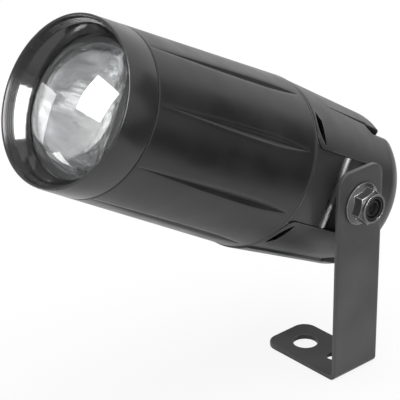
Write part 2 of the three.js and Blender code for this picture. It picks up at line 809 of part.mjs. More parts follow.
function makeHousing() {
  let housing = solid(housingBody()).subtract(housingCavity());
  housing = housing.add(padBlock()).subtract(solid(pocketCutter()));
  housing = housing.add(solid(disc(bossRadius, cavityAcross, bossFaceAt, "across")));
  const pivotHole = disc(boltRadius + fitGap, cavityAcross - overrun, bossFaceAt + overrun, "across");
  const hexPocket = extruded(
    hexagon(boltHeadAcrossFlats + 2 * fitGap),
    "across",
    cavityAcross - overrun,
    cavityAcross + pivotPocketDepth,
  );
  housing = housing.subtract(solid(pivotHole)).subtract(solid(hexPocket));
  const wireHole = disc(wireHoleRadius, 0, spigotFrontAt + overrun, "forward", smallSteps);
  housing = housing.subtract(solid(wireHole));
  const cavityRearRadius = housingRadius(-coverDomeStart) - housingWall;
  const bossRearAt = -housingFlatStart - overrun;
  const bossFrontAt = coverScrewBossLength - housingFlatStart;
  const bossHoleTo = coverScrewSeatAt + coverScrewLength + fitGap;
  for (const [x, z] of coverScrewPlaces()) {
    const boss = disc(coverScrewBossRadius, bossRearAt, bossFrontAt, "forward", smallSteps);
    const hole = disc(smallScrewRadius + fitGap, bossRearAt, bossHoleTo, "forward", smallSteps);
    housing = housing.add(solid(boss.translate(x, 0, z)).intersect(solid(housingBody())));
    housing = housing.subtract(solid(hole.translate(x, 0, z)));
  }
  for (const across of ribPlaces()) {
    const ribTop = -boardDrop - fitGap;
    const low = [across - ribThickness / 2, -boardFrontAt, -cavityRearRadius - housingWall / 2];
    const high = [across + ribThickness / 2, boardLength - boardFrontAt, ribTop];
    const rib = solid(box(low, high)).intersect(solid(housingBody()));
    housing = housing.add(rib);
  }
  for (const [x, along] of boardScrewPlaces()) {
    const from = -boardDrop - fitGap - boardScrewLength;
    const hole = disc(smallScrewRadius + fitGap, from, partsBase, "up", smallSteps);
    housing = housing.subtract(solid(hole.translate(x, -along, 0)));
  }
  for (const side of [1, -1]) {
    const hole = disc(screwRadius + fitGap, 0, spigotFrontAt + overrun, "forward", smallSteps);
    housing = housing.subtract(solid(hole.translate(side * sinkScrewCircle, 0, 0)));
    const height = flatHeight - coverWall - fitGap;
    housing = housing.subtract(flatCutter(side, height, housingFlatStart, 0));
  }
  return housing;
}

// Light source: a finned heat sink with the LED on it, and a reflector from the LED to the lens

function makeHeatSink() {
  const baseRearAt = sinkFrontAt - sinkBaseThickness;
  const throughTo = sinkFrontAt + overrun;
  let fins = null;
  for (let i = 0; i < sinkFinCount; i += 1) {
    const middle = between(-1, 1, (i + 0.5) / sinkFinCount) * sinkRadius;
    const low = [middle - sinkFinThickness / 2, -baseRearAt - sinkBaseThickness / 2, -sinkRadius];
    const high = [middle + sinkFinThickness / 2, -sinkRearAt, sinkRadius];
    const fin = solid(box(low, high));
    fins = fins ? fins.add(fin) : fin;
  }
  fins = fins.intersect(solid(disc(sinkRadius, sinkRearAt, sinkFrontAt, "forward")));
  let sink = solid(disc(sinkRadius, baseRearAt, sinkFrontAt, "forward")).add(fins);
  for (const side of [1, -1]) {
    const boss = disc(sinkBossRadius, sinkRearAt, sinkFrontAt, "forward", smallSteps);
    const holeEnd = sinkRearAt + sinkScrewLength;
    const hole = disc(screwRadius + fitGap, sinkRearAt - overrun, holeEnd, "forward", smallSteps);
    const screwHole = disc(smallScrewRadius + fitGap, baseRearAt - overrun, throughTo, "forward", smallSteps);
    sink = sink.add(solid(boss.translate(side * sinkScrewCircle, 0, 0)));
    sink = sink.subtract(solid(hole.translate(side * sinkScrewCircle, 0, 0)));
    sink = sink.subtract(solid(screwHole.translate(0, 0, side * ledScrewCircle)));
  }
  return sink;
}

function withScrewHoles(plate, from, to) {
  let drilled = solid(plate);
  for (const side of [1, -1]) {
    const hole = disc(smallScrewRadius + fitGap, from - overrun, to + overrun, "forward", smallSteps);
    drilled = drilled.subtract(solid(hole.translate(0, 0, side * ledScrewCircle)));
  }
  return drilled;
}

function makeThermalPad() {
  const from = sinkFrontAt + fitGap;
  const to = from + thermalPadThickness;
  return withScrewHoles(disc(thermalPadRadius, from, to, "forward"), from, to);
}

function makeLedBoard() {
  const plate = disc(ledBoardRadius, ledBoardAt, ledBoardFrontAt, "forward");
  return withScrewHoles(plate, ledBoardAt, ledBoardFrontAt);
}

function makeLed() {
  const half = ledSide / 2;
  const from = ledBoardFrontAt + fitGap;
  const base = box([-half, -from - ledBaseHeight, -half], [half, -from, half]);
  const dome = arcProfile(0, from + ledBaseHeight / 2, ledDomeRadius, 0, Math.PI / 2, cornerSteps);
  dome[dome.length - 1][0] = 0;
  const bulb = turned([[0, from + ledBaseHeight / 2], ...dome], "forward", smallSteps);
  return solid(base).add(solid(bulb));
}

function makeReflector() {
  const from = ledBoardFrontAt + fitGap;
  const to = retainerBackAt - fitGap;
  const outside = [];
  const inside = [];
  for (let i = 1; i <= reflectorStepCount; i += 1) {
    const share = i / reflectorStepCount;
    const radius = between(reflectorThroatRadius, reflectorMouthRadius, Math.sqrt(share));
    outside.push([radius + reflectorWall, between(from, to, share)]);
    inside.unshift([radius, between(from, to, share)]);
  }
  return turned(
    [
      [reflectorThroatRadius, from],
      [reflectorBaseRadius, from],
      [reflectorBaseRadius, from + reflectorWall],
      ...outside,
      ...inside,
    ],
    "forward",
    ringSteps,
  );
}

// Driver electronics

function ribPlaces() {
  const half = boardWidth / 2;
  return [boardCentreAcross - half + ribInset, boardCentreAcross + half - ribInset];
}

function boardScrewPlaces() {
  const [left, right] = ribPlaces();
  return [
    [left, boardFrontAt - partMargin],
    [right, boardFrontAt - boardLength + partMargin],
  ];
}

function makeDriverBoard() {
  const low = [boardCentreAcross - boardWidth / 2, -boardFrontAt, -boardDrop];
  const high = [boardCentreAcross + boardWidth / 2, boardLength - boardFrontAt, boardTop];
  let board = solid(box(low, high));
  const holeFrom = -boardDrop - overrun;
  for (const [x, along] of boardScrewPlaces()) {
    const hole = disc(smallScrewRadius + fitGap, holeFrom, boardTop + overrun, "up", smallSteps);
    board = board.subtract(solid(hole.translate(x, -along, 0)));
  }
  return board;
}

// A block standing on the driver board, size given across, along and up
function boardBlock([width, length, height], across, along) {
  const low = [across - width / 2, -along - length / 2, partsBase];
  const high = [across + width / 2, -along + length / 2, partsBase + height];
  return box(low, high);
}

// Screws

// A pan-head screw whose head rests on a seat and whose shank runs from there in the given direction
function screw(radius, headRadius, headHeight, length, direction) {
  const edge = headHeight / 3;
  const body = turned(
    [
      [0, -headHeight],
      [headRadius - edge, -headHeight],
      [headRadius, -headHeight + edge],
      [headRadius, 0],
      [radius, 0],
      [radius, length],
      [0, length],
    ],
    direction,
    smallSteps,
  );
  const half = screwSlotWidth / 2;
  const across = extruded(
    roundedShape([
      [-headRadius, -half],
      [headRadius, -half],
      [headRadius, half],
      [-headRadius, half],
    ]),
    direction,
    -headHeight - overrun,
    -headHeight + screwSlotDepth,
  );
  return solid(body).subtract(solid(across));
}

function smallScrew(length, direction) {
  return screw(smallScrewRadius, smallScrewHeadRadius, smallScrewHeadHeight, length, direction);
}

// Pivot fasteners, all on the axis across the head

function makePivotBolt() {
  const headTop = cavityAcross + pivotPocketDepth - fitGap;
  const nutEnd = armOuterAt + fitGap + nutHeight;
  const boltHead = extruded(hexagon(boltHeadAcrossFlats), "across", headTop - boltHeadHeight, headTop);
  const shank = disc(boltRadius, headTop - boltHeadHeight / 2, nutEnd - boltEndRecess, "across", ringSteps);
  return solid(boltHead).add(solid(shank));
}

function makeFrictionWasher() {
  const from = bossFaceAt + fitGap;
  const to = from + frictionWasherThickness;
  return disc(frictionWasherRadius, from, to, "across", ringSteps, boltRadius + fitGap);
}

function makeLockNut() {
  const from = armOuterAt + fitGap;
  const flangeEdgeAt = from + nutFlangeEdge;
  const flangeTopAt = flangeEdgeAt + nutFlangeRise;
  const collarAt = from + nutHeight - nutCollarHeight;
  const hexTopRadius = nutAcrossFlats / 2;
  const flange = turned(
    [
      [0, from],
      [nutFlangeRadius, from],
      [nutFlangeRadius, flangeEdgeAt],
      [hexTopRadius, flangeTopAt],
      [0, flangeTopAt],
    ],
    "across",
    ringSteps,
  );
  const hex = extruded(hexagon(nutAcrossFlats), "across", flangeEdgeAt, collarAt);
  const shoulder = turned(
    [
      [0, from],
      [nutAcrossFlats, from],
      [hexTopRadius + nutConeHeight, collarAt - nutConeHeight],
      [hexTopRadius - nutConeHeight, collarAt],
      [0, collarAt],
    ],
    "across",
    ringSteps,
  );
  const collar = disc(nutCollarRadius, collarAt - nutConeHeight, from + nutHeight, "across", ringSteps);
  const bore = disc(boltRadius + fitGap, from - overrun, from + nutHeight + overrun, "across", ringSteps);
  const insertFrom = from + nutHeight - insertHeight - 2 * fitGap;
  const seat = disc(insertRadius + fitGap, insertFrom, from + nutHeight + overrun, "across", ringSteps);
  return solid(flange)
    .add(solid(hex).intersect(solid(shoulder)))
    .add(solid(collar))
    .subtract(solid(bore))
    .subtract(solid(seat));
}

function makeNutInsert() {
  const to = armOuterAt + fitGap + nutHeight - fitGap;
  return disc(insertRadius, to - insertHeight, to, "across", ringSteps, boltRadius + fitGap / 2);
}

// Cable gland, behind the cover's end wall

function hexRing(acrossFlats, holeRadius, from, to) {
  const body = solid(extruded(hexagon(acrossFlats), "forward", from, to));
  return body.subtract(solid(disc(holeRadius, from - overrun, to + overrun, "forward", smallSteps)));
}

function makeGlandBody() {
  const tubeFrom = glandFlangeRearAt - glandOuterThread;
  const tubeTo = glandFlangeFrontAt + glandInnerThread;
  const flange = extruded(hexagon(glandAcrossFlats), "forward", glandFlangeRearAt, glandFlangeFrontAt);
  const tube = disc(glandThreadRadius, tubeFrom, tubeTo, "forward");
  const bore = disc(glandBoreRadius, tubeFrom - overrun, tubeTo + overrun, "forward", smallSteps);
  return solid(flange).add(solid(tube)).subtract(solid(bore));
}

function makeGlandNut() {
  const from = coverEndAt + coverWall + fitGap;
  return hexRing(glandAcrossFlats, glandThreadRadius + fitGap, from, from + glandNutThickness);
}

function makeGlandCap() {
  const from = glandCapRearAt;
  const to = glandCapFrontAt;
  const hexEnd = (from + to) / 2;
  const dome = turned(
    [
      [0, from],
      [glandThreadRadius - glandCapWall / 2, from],
      [glandThreadRadius + fitGap + glandCapWall / 2, from + glandCapWall],
      [glandAcrossFlats / 2, hexEnd],
      [glandAcrossFlats / 2, to],
      [0, to],
    ],
    "forward",
    ringSteps,
  );
  const hex = extruded(hexagon(glandAcrossFlats), "forward", hexEnd, to);
  const cableHole = disc(cableHoleRadius + fitGap, from - overrun, to + overrun, "forward", smallSteps);
  const thread = disc(glandThreadRadius + fitGap, from + glandCapWall, to + overrun, "forward", smallSteps);
  return solid(dome).add(solid(hex)).subtract(solid(cableHole)).subtract(solid(thread));
}

function makeGlandSeal() {
  const from = glandCapRearAt + glandCapWall + fitGap;
  return disc(glandThreadRadius, from, from + glandSealLength, "forward", smallSteps, cableHoleRadius);
}

// The assembly

add(light, "bracket", makeBracket(), powderCoat);

add(head, "front_bezel", makeBezel(), satinBlack);
add(head, "condenser_lens", makeLens(), clearGlass);
add(head, "lens_gasket", makeGasket(), softRubber);
add(head, "lens_retaining_ring", makeRetainer(), blackNylon);
add(head, "main_sleeve", makeSleeve(), satinBlack);
add(head, "rear_cover", makeRearCover(), satinBlack);
add(head, "inner_housing", makeHousing(), housingGrey);

add(head, "heat_sink", makeHeatSink(), bareAluminium);
add(head, "thermal_pad", makeThermalPad(), padPink);
add(head, "led_board", makeLedBoard(), whiteMask);
add(head, "led_package", makeLed(), phosphor);
add(head, "reflector", makeReflector(), mirrorCoat);

add(head, "driver_board", makeDriverBoard(), greenMask);
const transformerAcross = boardCentreAcross - boardWidth / 4;
const terminalFrontAt = boardFrontAt - boardLength + partMargin + terminalSize[1];
const terminalAlong = terminalFrontAt - terminalSize[1] / 2;
const transformerAlong = terminalFrontAt + partMargin + transformerSize[1] / 2;
const capacitorAlong = boardFrontAt - partMargin - capacitorRadius;
const capacitorTop = partsBase + capacitorHeight;
const transformerBlock = boardBlock(transformerSize, transformerAcross, transformerAlong);
add(head, "driver_transformer", transformerBlock, windingYellow);
add(head, "terminal_block", boardBlock(terminalSize, transformerAcross, terminalAlong), whiteMask);
add(head, "driver_capacitor", disc(capacitorRadius, partsBase, capacitorTop, "up", smallSteps), blackNylon)
  .position.set(capacitorRadius, -capacitorAlong, 0);

coverScrewPlaces().forEach(([x, z], i) => {
  const body = smallScrew(coverScrewLength, "forward");
  add(head, `cover_screw_${i + 1}`, body, blackZinc).position.set(x, -coverScrewSeatAt, z);
});
const sinkScrewSeatAt = spigotFrontAt - bulkheadThickness - fitGap;
const ledScrewSeatAt = ledBoardFrontAt + fitGap;
[1, -1].forEach((side, i) => {
  const sinkScrew = screw(screwRadius, screwHeadRadius, screwHeadHeight, sinkScrewLength, "forward");
  add(head, `heat_sink_screw_${i + 1}`, sinkScrew, plainSteel)
    .position.set(side * sinkScrewCircle, -sinkScrewSeatAt, 0);
  const ledScrew = smallScrew(ledScrewLength, "rearward");
  add(head, `led_screw_${i + 1}`, ledScrew, plainSteel)
    .position.set(0, -ledScrewSeatAt, side * ledScrewCircle);
});
boardScrewPlaces().forEach(([x, along], i) => {
  const body = smallScrew(boardScrewLength, "down");
  add(head, `driver_screw_${i + 1}`, body, plainSteel).position.set(x, -along, partsBase);
});

add(head, "cable_gland_body", makeGlandBody(), blackNylon);
add(head, "gland_lock_nut", makeGlandNut(), blackNylon);
add(head, "gland_cap", makeGlandCap(), blackNylon);
add(head, "gland_seal", makeGlandSeal(), softRubber);

add(head, "pivot_bolt", makePivotBolt(), blackZinc);
add(head, "friction_washer", makeFrictionWasher(), blackNylon);
add(head, "pivot_lock_nut", makeLockNut(), blackZinc);
add(head, "nut_insert", makeNutInsert(), blackNylon);

export default light;
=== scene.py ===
"""A pinspot light on its bracket: the fine surfaces, the finishes, the studio and the camera.

Sizes are in millimetres and are turned into metres when a mesh is made. The lamp head is drawn level, with the
beam forwards, in its own x, forward and up, and is then tilted about the pivot as the real one is.
"""

import json
import math

import bmesh
import bpy
import numpy as np
from mathutils import Matrix, Vector


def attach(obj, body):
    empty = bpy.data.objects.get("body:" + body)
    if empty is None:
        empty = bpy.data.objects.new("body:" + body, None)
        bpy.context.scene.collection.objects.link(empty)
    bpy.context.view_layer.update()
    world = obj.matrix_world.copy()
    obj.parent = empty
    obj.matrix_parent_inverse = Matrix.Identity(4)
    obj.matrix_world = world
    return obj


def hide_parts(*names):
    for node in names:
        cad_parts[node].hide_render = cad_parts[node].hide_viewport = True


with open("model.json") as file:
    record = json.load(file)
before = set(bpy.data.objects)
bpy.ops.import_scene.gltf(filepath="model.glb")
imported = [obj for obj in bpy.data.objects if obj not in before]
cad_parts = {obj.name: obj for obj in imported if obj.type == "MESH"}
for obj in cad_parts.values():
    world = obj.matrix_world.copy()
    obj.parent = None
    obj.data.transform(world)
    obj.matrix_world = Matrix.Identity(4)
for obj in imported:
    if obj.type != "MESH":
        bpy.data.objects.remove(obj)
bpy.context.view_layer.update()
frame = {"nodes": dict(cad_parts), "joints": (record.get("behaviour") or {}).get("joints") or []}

MM = 0.001
HEAD = "lamp_head"

# Pose of the head
PIVOT_UP = frame["joints"][0]["pos_m"][2] / MM
REST_TILT = math.radians(29.3)
HEAD_PLACE = Matrix.Translation((0, 0, PIVOT_UP * MM)) @ Matrix.Rotation(-REST_TILT, 4, "X")
FLOOR_PLACE = Matrix.Identity(4)

# Clearance between pieces
GAP = 0.3

# What |sin a| is held above where something is divided by it
LEAST_SINE = 0.05

# Sleeve
SLEEVE_REAR, SLEEVE_FRONT = 30.5, 119.5
SLEEVE_REAR_R, SLEEVE_FRONT_R = 36.0, 33.45
SLEEVE_WALL = 2.0
SLEEVE_SKIN, SLEEVE_CHAMFER, RIM_ROUND = 0.05, 0.2, 0.45
RIM_LINE, RIM_LINE_HALF, RIM_LINE_DEPTH = 1.15, 0.3, 0.35
FLUTE_ANGLES = np.radians([-159, -118, -62, -21, 21, 62, 118, 159])
FLUTE_DEPTH, FLUTE_HALF = 1.1, 2.0
FLUTE_FRONT, FLUTE_REAR = 118.7, 35.1
FLUTE_WIDEST, FLUTE_SWELL, FLUTE_ROUNDING = 0.74, 1.15, 0.3

# Bezel and lens
BEZEL_REAR, BEZEL_FRONT = 119.8, 134.6
BEZEL_R, BEZEL_LIP = 32.95, 1.0
BEZEL_WALL_INSET, BEZEL_FACE_INSET, BEZEL_REAR_INSET = 0.03, 0.08, 0.09
THROAT_R, THROAT_DEPTH = 27.3, 9.7
THROAT_BEND, BEND_R, BEND_MARGIN = 130.4, 30.2, 0.05
THROAT_LINES, LINES_FROM, LINES_TO = 3, 0.45, 0.8
LINE_DEPTH, LINE_HALF, LINE_EDGE = 0.18, 0.2, 0.05
SPIGOT_REAR, SPIGOT_R, SPIGOT_BORE = 109.0, 31.15, 28.85
LENS_SEAT = BEZEL_FRONT - THROAT_DEPTH
LENS_R, LENS_DOME, LENS_FLANGE = 27.0, 9.5, 3.0
RETAINER_BACK, RETAINER_FRONT, RETAINER_BORE = 115.1, 119.8, 21.9
GASKET_BACK, GASKET_FRONT, GASKET_BORE = 120.1, 121.3, 25.9
REFLECTOR_BACK, REFLECTOR_THROAT, REFLECTOR_MOUTH, REFLECTOR_WALL = 66.8, 6.0, 26.0, 1.0

# Rear cover
COVER_FRONT, COVER_FRONT_R = 29.6, 35.7
COVER_REAR_R, DOME_START, DOME_R, COVER_WALL = 33.0, 23.5, 14.0, 1.6
COVER_END = -DOME_START - DOME_R
RAIL_HALF = math.radians(26.6)
RAIL_BEYOND, LOW_RAIL_BEYOND, LOW_RAIL_PROUD, RAIL_EDGE = 1.5, 7.5, 0.8, 2.2
EDGE_COLUMNS, RAIL_COLUMNS, OPEN_COLUMNS = 17, 26, 74
RAIL_END = -DOME_START - RAIL_BEYOND
FLAT_HEIGHT, FLAT_START, LOW_FLAT_START, FLAT_FILLET = 27.0, 11.8, 17.5, 5.5
FLAT_LEAD, FLAT_SOAR, FLAT_EDGE, FLAT_EDGE_END = 1.3, 60, 0.45, 2.4
GROOVE_START, GROOVE_DEPTH, GROOVE_HALF, EDGE_HALF, EDGE_HALF_END = 17.0, 1.3, 1.1, 0.3, 0.8
NOTCH_HALF, NOTCH_REAR, NOTCH_FLARE, NOTCH_CORNER = 15.4, 16.5, 5.0, 7.0
NOTCH_CUT, CRESCENT_CUT = (20, 45), (29, 38)
CRESCENT_ANGLE, CRESCENT_HALF, CRESCENT_WIDTH = math.radians(40), 7.1, 3.1
CRESCENT_LIP, CRESCENT_DROP, CRESCENT_RAKE = 1.3, 3.6, 0.8
VENT_COUNT, VENT_LENGTH, VENT_WIDTH, VENT_CIRCLE = 6, 6.0, 2.0, 13.8

# Inner housing
HOUSING_WALL, BULKHEAD, SPIGOT_LENGTH = 2.3, 3.0, 8.0
PAD_X, PAD_ROLL_AT, PAD_ROLL_R, POCKET_MARGIN = 30.8, 10.1, 12.0, 1.2
FLOOR_X = 25.8
CAVITY_X, BOSS_R = 23.5, 5.6
BLOCK_X = CAVITY_X + 1.5
HOUSING_FLAT = FLAT_START - COVER_WALL - GAP

# Bracket
ARM_IN, SHEET, WIDTH = 36.6, 2.0, 25.0
ARM_OUT = ARM_IN + SHEET
ARM_ABOVE, CORNER_R, BEND_IN = 15.2, 6.2, 1.0
FOOT_LENGTH = 42.6
CLAMP_R, CLAMP_FROM_ARM = 5.35, 29.8
SAFETY_R, SAFETY_FROM_ARM = 2.75, 13.1

# Fasteners
BOLT_R, BOLT_FLATS, BOLT_HEAD_R, BOLT_HEAD_HEIGHT = 4.0, 13.0, 7.4, 5.3
THREAD_PITCH, THREAD_DEPTH, BOLT_SHORT = 1.25, 0.45, 0.8
HEX_BLUNT = 0.25
NUT_FROM, NUT_HEIGHT, NUT_FLATS = ARM_OUT + GAP, 7.4, 13.0
NUT_FLANGE_R, NUT_FLANGE_EDGE, NUT_FLANGE_RISE = 8.95, 0.65, 1.3
FLANGE_BLUNT, FLANGE_BLUNT_OVER, NUT_HOLLOW = 0.25, 0.3, 0.3
COLLAR_R, COLLAR_HEIGHT, COLLAR_ROUND, NUT_CONE, NUT_CONE_SLOPE = 6.1, 1.2, 0.3, 0.7, 1.6
NUT_TURN = math.radians(15)
INSERT_R, INSERT_HEIGHT, INSERT_END = 4.9, 2.0, NUT_FROM + NUT_HEIGHT - GAP
WASHER_R, WASHER_THICK = 10.0, 2.1
BOSS_FACE = ARM_IN - GAP - WASHER_THICK - GAP
SCREW_R, SCREW_HEAD_R, SCREW_HEAD_H = 1.2, 2.1, 1.5
SCREW_RIM_SHARE, SCREW_CROWN = 0.45, 0.7
CROSS_HALF, CROSS_REACH, CROSS_DEPTH, CROSS_SIDE_FALL, CROSS_END_FALL = 0.18, 1.0, 0.9, 0.14, 0.3
SCREW_SEAT = RAIL_END + SCREW_HEAD_H + GAP
COVER_SCREW_CIRCLE, COVER_SCREW_SPREAD, COVER_SCREW_LENGTH = 29.8, math.radians(8), 18.0

# Cable gland
GLAND_R, GLAND_FLATS, GLAND_FLANGE, GLAND_CAP, GLAND_WALL = 5.9, 15.0, 4.0, 9.0, 1.6
GLAND_BORE, GLAND_CORNER, GLAND_FACE, GLAND_DOME = 4.4, 8.8, 8.4, 7.3
GLAND_THREAD, GLAND_TAIL, SEAL_LENGTH = 4.0, 7.5, 2.6
CABLE_R = 3.5


# Shapes

def unit(vector):
    """The vector over its length."""
    return vector / np.linalg.norm(vector)


def mix(a, b, share):
    """a at share 0, b at share 1, and a straight line between."""
    return a + (b - a) * share


def smooth(share):
    """3s^2 - 2s^3 between 0 and 1, flat outside."""
    share = np.clip(share, 0, 1)
    return share * share * (3 - 2 * share)


def rounded(corners, closed=True, steps=6):
    """A polyline through corners (x, y, radius), where an arc that touches both sides replaces each corner that
    has a radius.
    """
    corners = np.asarray(corners, float)
    parts = []
    for i, radius in enumerate(corners[:, 2]):
        here = corners[i, :2]
        if radius <= 0 or (not closed and i in (0, len(corners) - 1)):
            parts.append(here[None])
            continue
        back = unit(corners[i - 1, :2] - here)
        ahead = unit(corners[(i + 1) % len(corners), :2] - here)
        half = math.acos(np.clip(back @ ahead, -1, 1)) / 2
        centre = here + unit(back + ahead) * radius / math.sin(half)
        start, end = here + back * radius / math.tan(half), here + ahead * radius / math.tan(half)
        first = math.atan2(*(start - centre)[::-1])
        sweep = (math.atan2(*(end - centre)[::-1]) - first + math.pi) % (2 * math.pi) - math.pi
        angle = first + sweep * np.linspace(0, 1, steps + 1)
        parts.append(centre + radius * np.stack([np.cos(angle), np.sin(angle)], 1))
    return np.concatenate(parts)


def forward(radius, along, angle):
    """Points round the head's own axis: x = r cos a, up = r sin a, and the along value runs forwards."""
    return np.stack(np.broadcast_arrays(radius * np.cos(angle), -along, radius * np.sin(angle)), -1)


def across(radius, along, angle):
    """Points round the pivot axis: y = r cos a, up = r sin a, and the along value runs out through the arm."""
    return np.stack(np.broadcast_arrays(along, radius * np.cos(angle), radius * np.sin(angle)), -1)


def full_turn(steps):
    """The angles of one turn in equal steps, as a column."""
    return np.arange(steps)[:, None] * 2 * math.pi / steps


def turned(profile, steps=128, about=forward):
    """A profile of (radius, along) points carried once round an axis: P(u, v) = (r(v), u turns, h(v))."""
    profile = np.asarray(profile, float)
    return about(profile[None, :, 0], profile[None, :, 1], full_turn(steps))


def hexagon(flats, angle):
    """The radius of a hexagon's side at an angle: flats / 2 cos(a), with a measured from the nearest flat."""
    return flats / 2 / np.cos((angle + math.pi / 6) % (math.pi / 3) - math.pi / 6)


def hexed(profile, flats, steps=144, about=forward):
    """A turned profile of (radius, along, 1 where it is held) within a hexagon: r(u, v) is the soft least of
    the profile's radius and the hexagon's, whose corners are cut a little.
    """
    profile = np.asarray(profile, float)
    angle = full_turn(steps)
    corner = flats / 2 / math.cos(math.pi / 6)
    side = np.minimum(hexagon(flats, angle), corner - HEX_BLUNT * 0.4)
    radius = profile[None, :, 0]
    held = np.where(profile[None, :, 2] > 0, soft_least(radius, side, HEX_BLUNT), radius)
    return about(held, profile[None, :, 1], angle)


def under_flat(height, angle):
    """The radius at which a level flat cuts a ray at an angle: height / |sin a|, held beside the flat."""
    return height / np.maximum(np.abs(np.sin(angle)), LEAST_SINE)


def soft_least(a, b, width):
    """The lesser of a and b with a rounded corner of about the given width."""
    h = np.clip(0.5 + 0.5 * (b - a) / width, 0, 1)
    return mix(b, a, h) - width * h * (1 - h)


def grid_faces(across_count, along_count, wrap_u=True, wrap_v=False):
    """The four-sided faces between the neighbours of a grid of points, closed along u or v where asked."""
    u = np.arange(across_count if wrap_u else across_count - 1)
    v = np.arange(along_count if wrap_v else along_count - 1)
    u, v = (a.ravel() for a in np.meshgrid(u, v, indexing="ij"))
    u2, v2 = (u + 1) % across_count, (v + 1) % along_count
    u, u2 = u * along_count, u2 * along_count
    return np.stack([u + v, u2 + v, u2 + v2, u + v2], 1)


def surface(name, points, wrap_v=False):
    """A mesh object over a grid of points in millimetres that closes along u, and along v where asked."""
    faces = grid_faces(points.shape[0], points.shape[1], wrap_v=wrap_v)
    return solid(name, points.reshape(-1, 3), faces)


def linked(name, data):
    """An object over a mesh, a light or a camera, linked into the scene."""
    made = bpy.data.objects.new(name, data)
    bpy.context.scene.collection.objects.link(made)
    return made


def mesh_object(name, points, faces):
    """An object over points in millimetres and faces."""
    mesh = bpy.data.meshes.new(name)
    mesh.from_pydata((np.asarray(points, float) * MM).tolist(), [], [list(map(int, face)) for face in faces])
    return linked(name, mesh)


def solid(name, points, faces, place=HEAD_PLACE):
    """A mesh object that is cleaned and put in its place."""
    piece = mesh_object(name, points, faces)
    clean(piece)
    piece.data.transform(place)
    return piece


def clean(piece, reach=0.002):
    """Merges doubles, drops needle faces, fills the small holes that this leaves and turns faces outwards."""
    work = bmesh.new()
    work.from_mesh(piece.data)
    bmesh.ops.remove_doubles(work, verts=work.verts, dist=reach * MM)
    bmesh.ops.dissolve_degenerate(work, edges=work.edges, dist=reach * MM)
    bmesh.ops.holes_fill(work, edges=work.edges, sides=6)
    bmesh.ops.recalc_face_normals(work, faces=work.faces)
    work.to_mesh(piece.data)
    work.free()


def prism(name, outline, low, high, lay):
    """A closed outline pushed from low to high; lay turns its two coordinates and the depth into x, y, z."""
    outline = np.asarray(outline, float)
    count = len(outline)
    ends = [lay(outline[:, 0], outline[:, 1], np.full(count, depth)) for depth in (low, high)]
    points = np.concatenate([np.stack(end, -1) for end in ends])
    ring = np.arange(count)
    sides = np.stack([ring, (ring + 1) % count, (ring + 1) % count + count, ring + count], 1)
    faces = [list(face) for face in sides] + [list(ring[::-1]), list(ring + count)]
    return solid(name, points, faces)


def combine(piece, other, operation):
    """Joins, cuts or overlaps a piece with a helper solid, which is then deleted."""
    step = piece.modifiers.new("combine", "BOOLEAN")
    step.operation, step.solver, step.object = operation, "MANIFOLD", other
    bake_down(piece)
    bpy.data.objects.remove(other)


def bake_down(piece):
    """Puts the result of a piece's modifiers into its mesh."""
    graph = bpy.context.evaluated_depsgraph_get()
    mesh = bpy.data.meshes.new_from_object(piece.evaluated_get(graph))
    piece.modifiers.clear()
    piece.data = mesh


def bevel(piece, width, angle=35):
    """Rounds the sharp edges by a given width in millimetres."""
    clean(piece, 0.02)
    edge = piece.modifiers.new("edges", "BEVEL")
    edge.width, edge.segments, edge.limit_method = width * MM, 3, "ANGLE"
    edge.angle_limit = math.radians(angle)
    edge.miter_outer = "MITER_ARC"
    bake_down(piece)
    clean(piece, 0.005)


def weigh(piece):
    """Lets the large flat faces lead the shading of the narrow rounded edges beside them."""
    step = piece.modifiers.new("weigh", "WEIGHTED_NORMAL")
    step.mode, step.weight, step.keep_sharp = "FACE_AREA", 80, True


def finish(piece, material, slot, *nodes, body=HEAD, sharp=38):
    """Shades a piece, gives it its material, and lets it ride on its body in place of CAD nodes. The slot is
    not used.
    """
    mesh = piece.data
    mesh.polygons.foreach_set("use_smooth", np.ones(len(mesh.polygons), bool))
    mesh.set_sharp_from_angle(angle=math.radians(sharp))
    mesh.materials.clear()
    mesh.materials.append(material)
    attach(piece, body)
    if nodes:
        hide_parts(*nodes)
    return piece


def face_places(piece):
    """Each face's middle as x, forward and up in the head's own millimetres, and its normal in that frame."""
    count = len(piece.data.polygons)
    middles, normals = np.zeros(count * 3), np.zeros(count * 3)
    piece.data.polygons.foreach_get("center", middles)
    piece.data.polygons.foreach_get("normal", normals)
    to_head = np.array(HEAD_PLACE.inverted())
    middles = (middles.reshape(-1, 3) @ to_head[:3, :3].T + to_head[:3, 3]) / MM
    normals = normals.reshape(-1, 3) @ to_head[:3, :3].T
    return middles[:, 0], -middles[:, 1], middles[:, 2], normals * np.array([1, -1, 1])


def second_finish(piece, material, chosen):
    """Gives the chosen faces a second material."""
    piece.data.materials.append(material)
    piece.data.polygons.foreach_set("material_index", chosen.astype(np.int32))


# Materials

EDGE_POINTINESS = (0.515, 0.56)


class Nodes:
    """The nodes of a material or a world, added by type and joined from output to input."""

    def __init__(self, owner):
        owner.use_nodes = True
        self.tree = owner.node_tree

    def add(self, kind, **values):
        """A node with values for its inputs or, where it has no such input, for its settings."""
        node = self.tree.nodes.new(kind)
        for key, value in values.items():
            if key in node.inputs:
                node.inputs[key].default_value = value
            else:
                setattr(node, key, value)
        return node

    def join(self, output, target):
        """Links an output to an input."""
        self.tree.links.new(output, target)

    def feed(self, target, value):
        """Joins an output to an input, or gives the input a number or a colour."""
        if isinstance(value, bpy.types.NodeSocket):
            self.join(value, target)
        else:
            target.default_value = (*value, 1) if target.type == "RGBA" else value

    def calculate(self, operation, first, second):
        """The result of an operation on two values, each a number or an output."""
        node = self.add("ShaderNodeMath", operation=operation)
        self.feed(node.inputs[0], first)
        self.feed(node.inputs[1], second)
        return node.outputs[0]


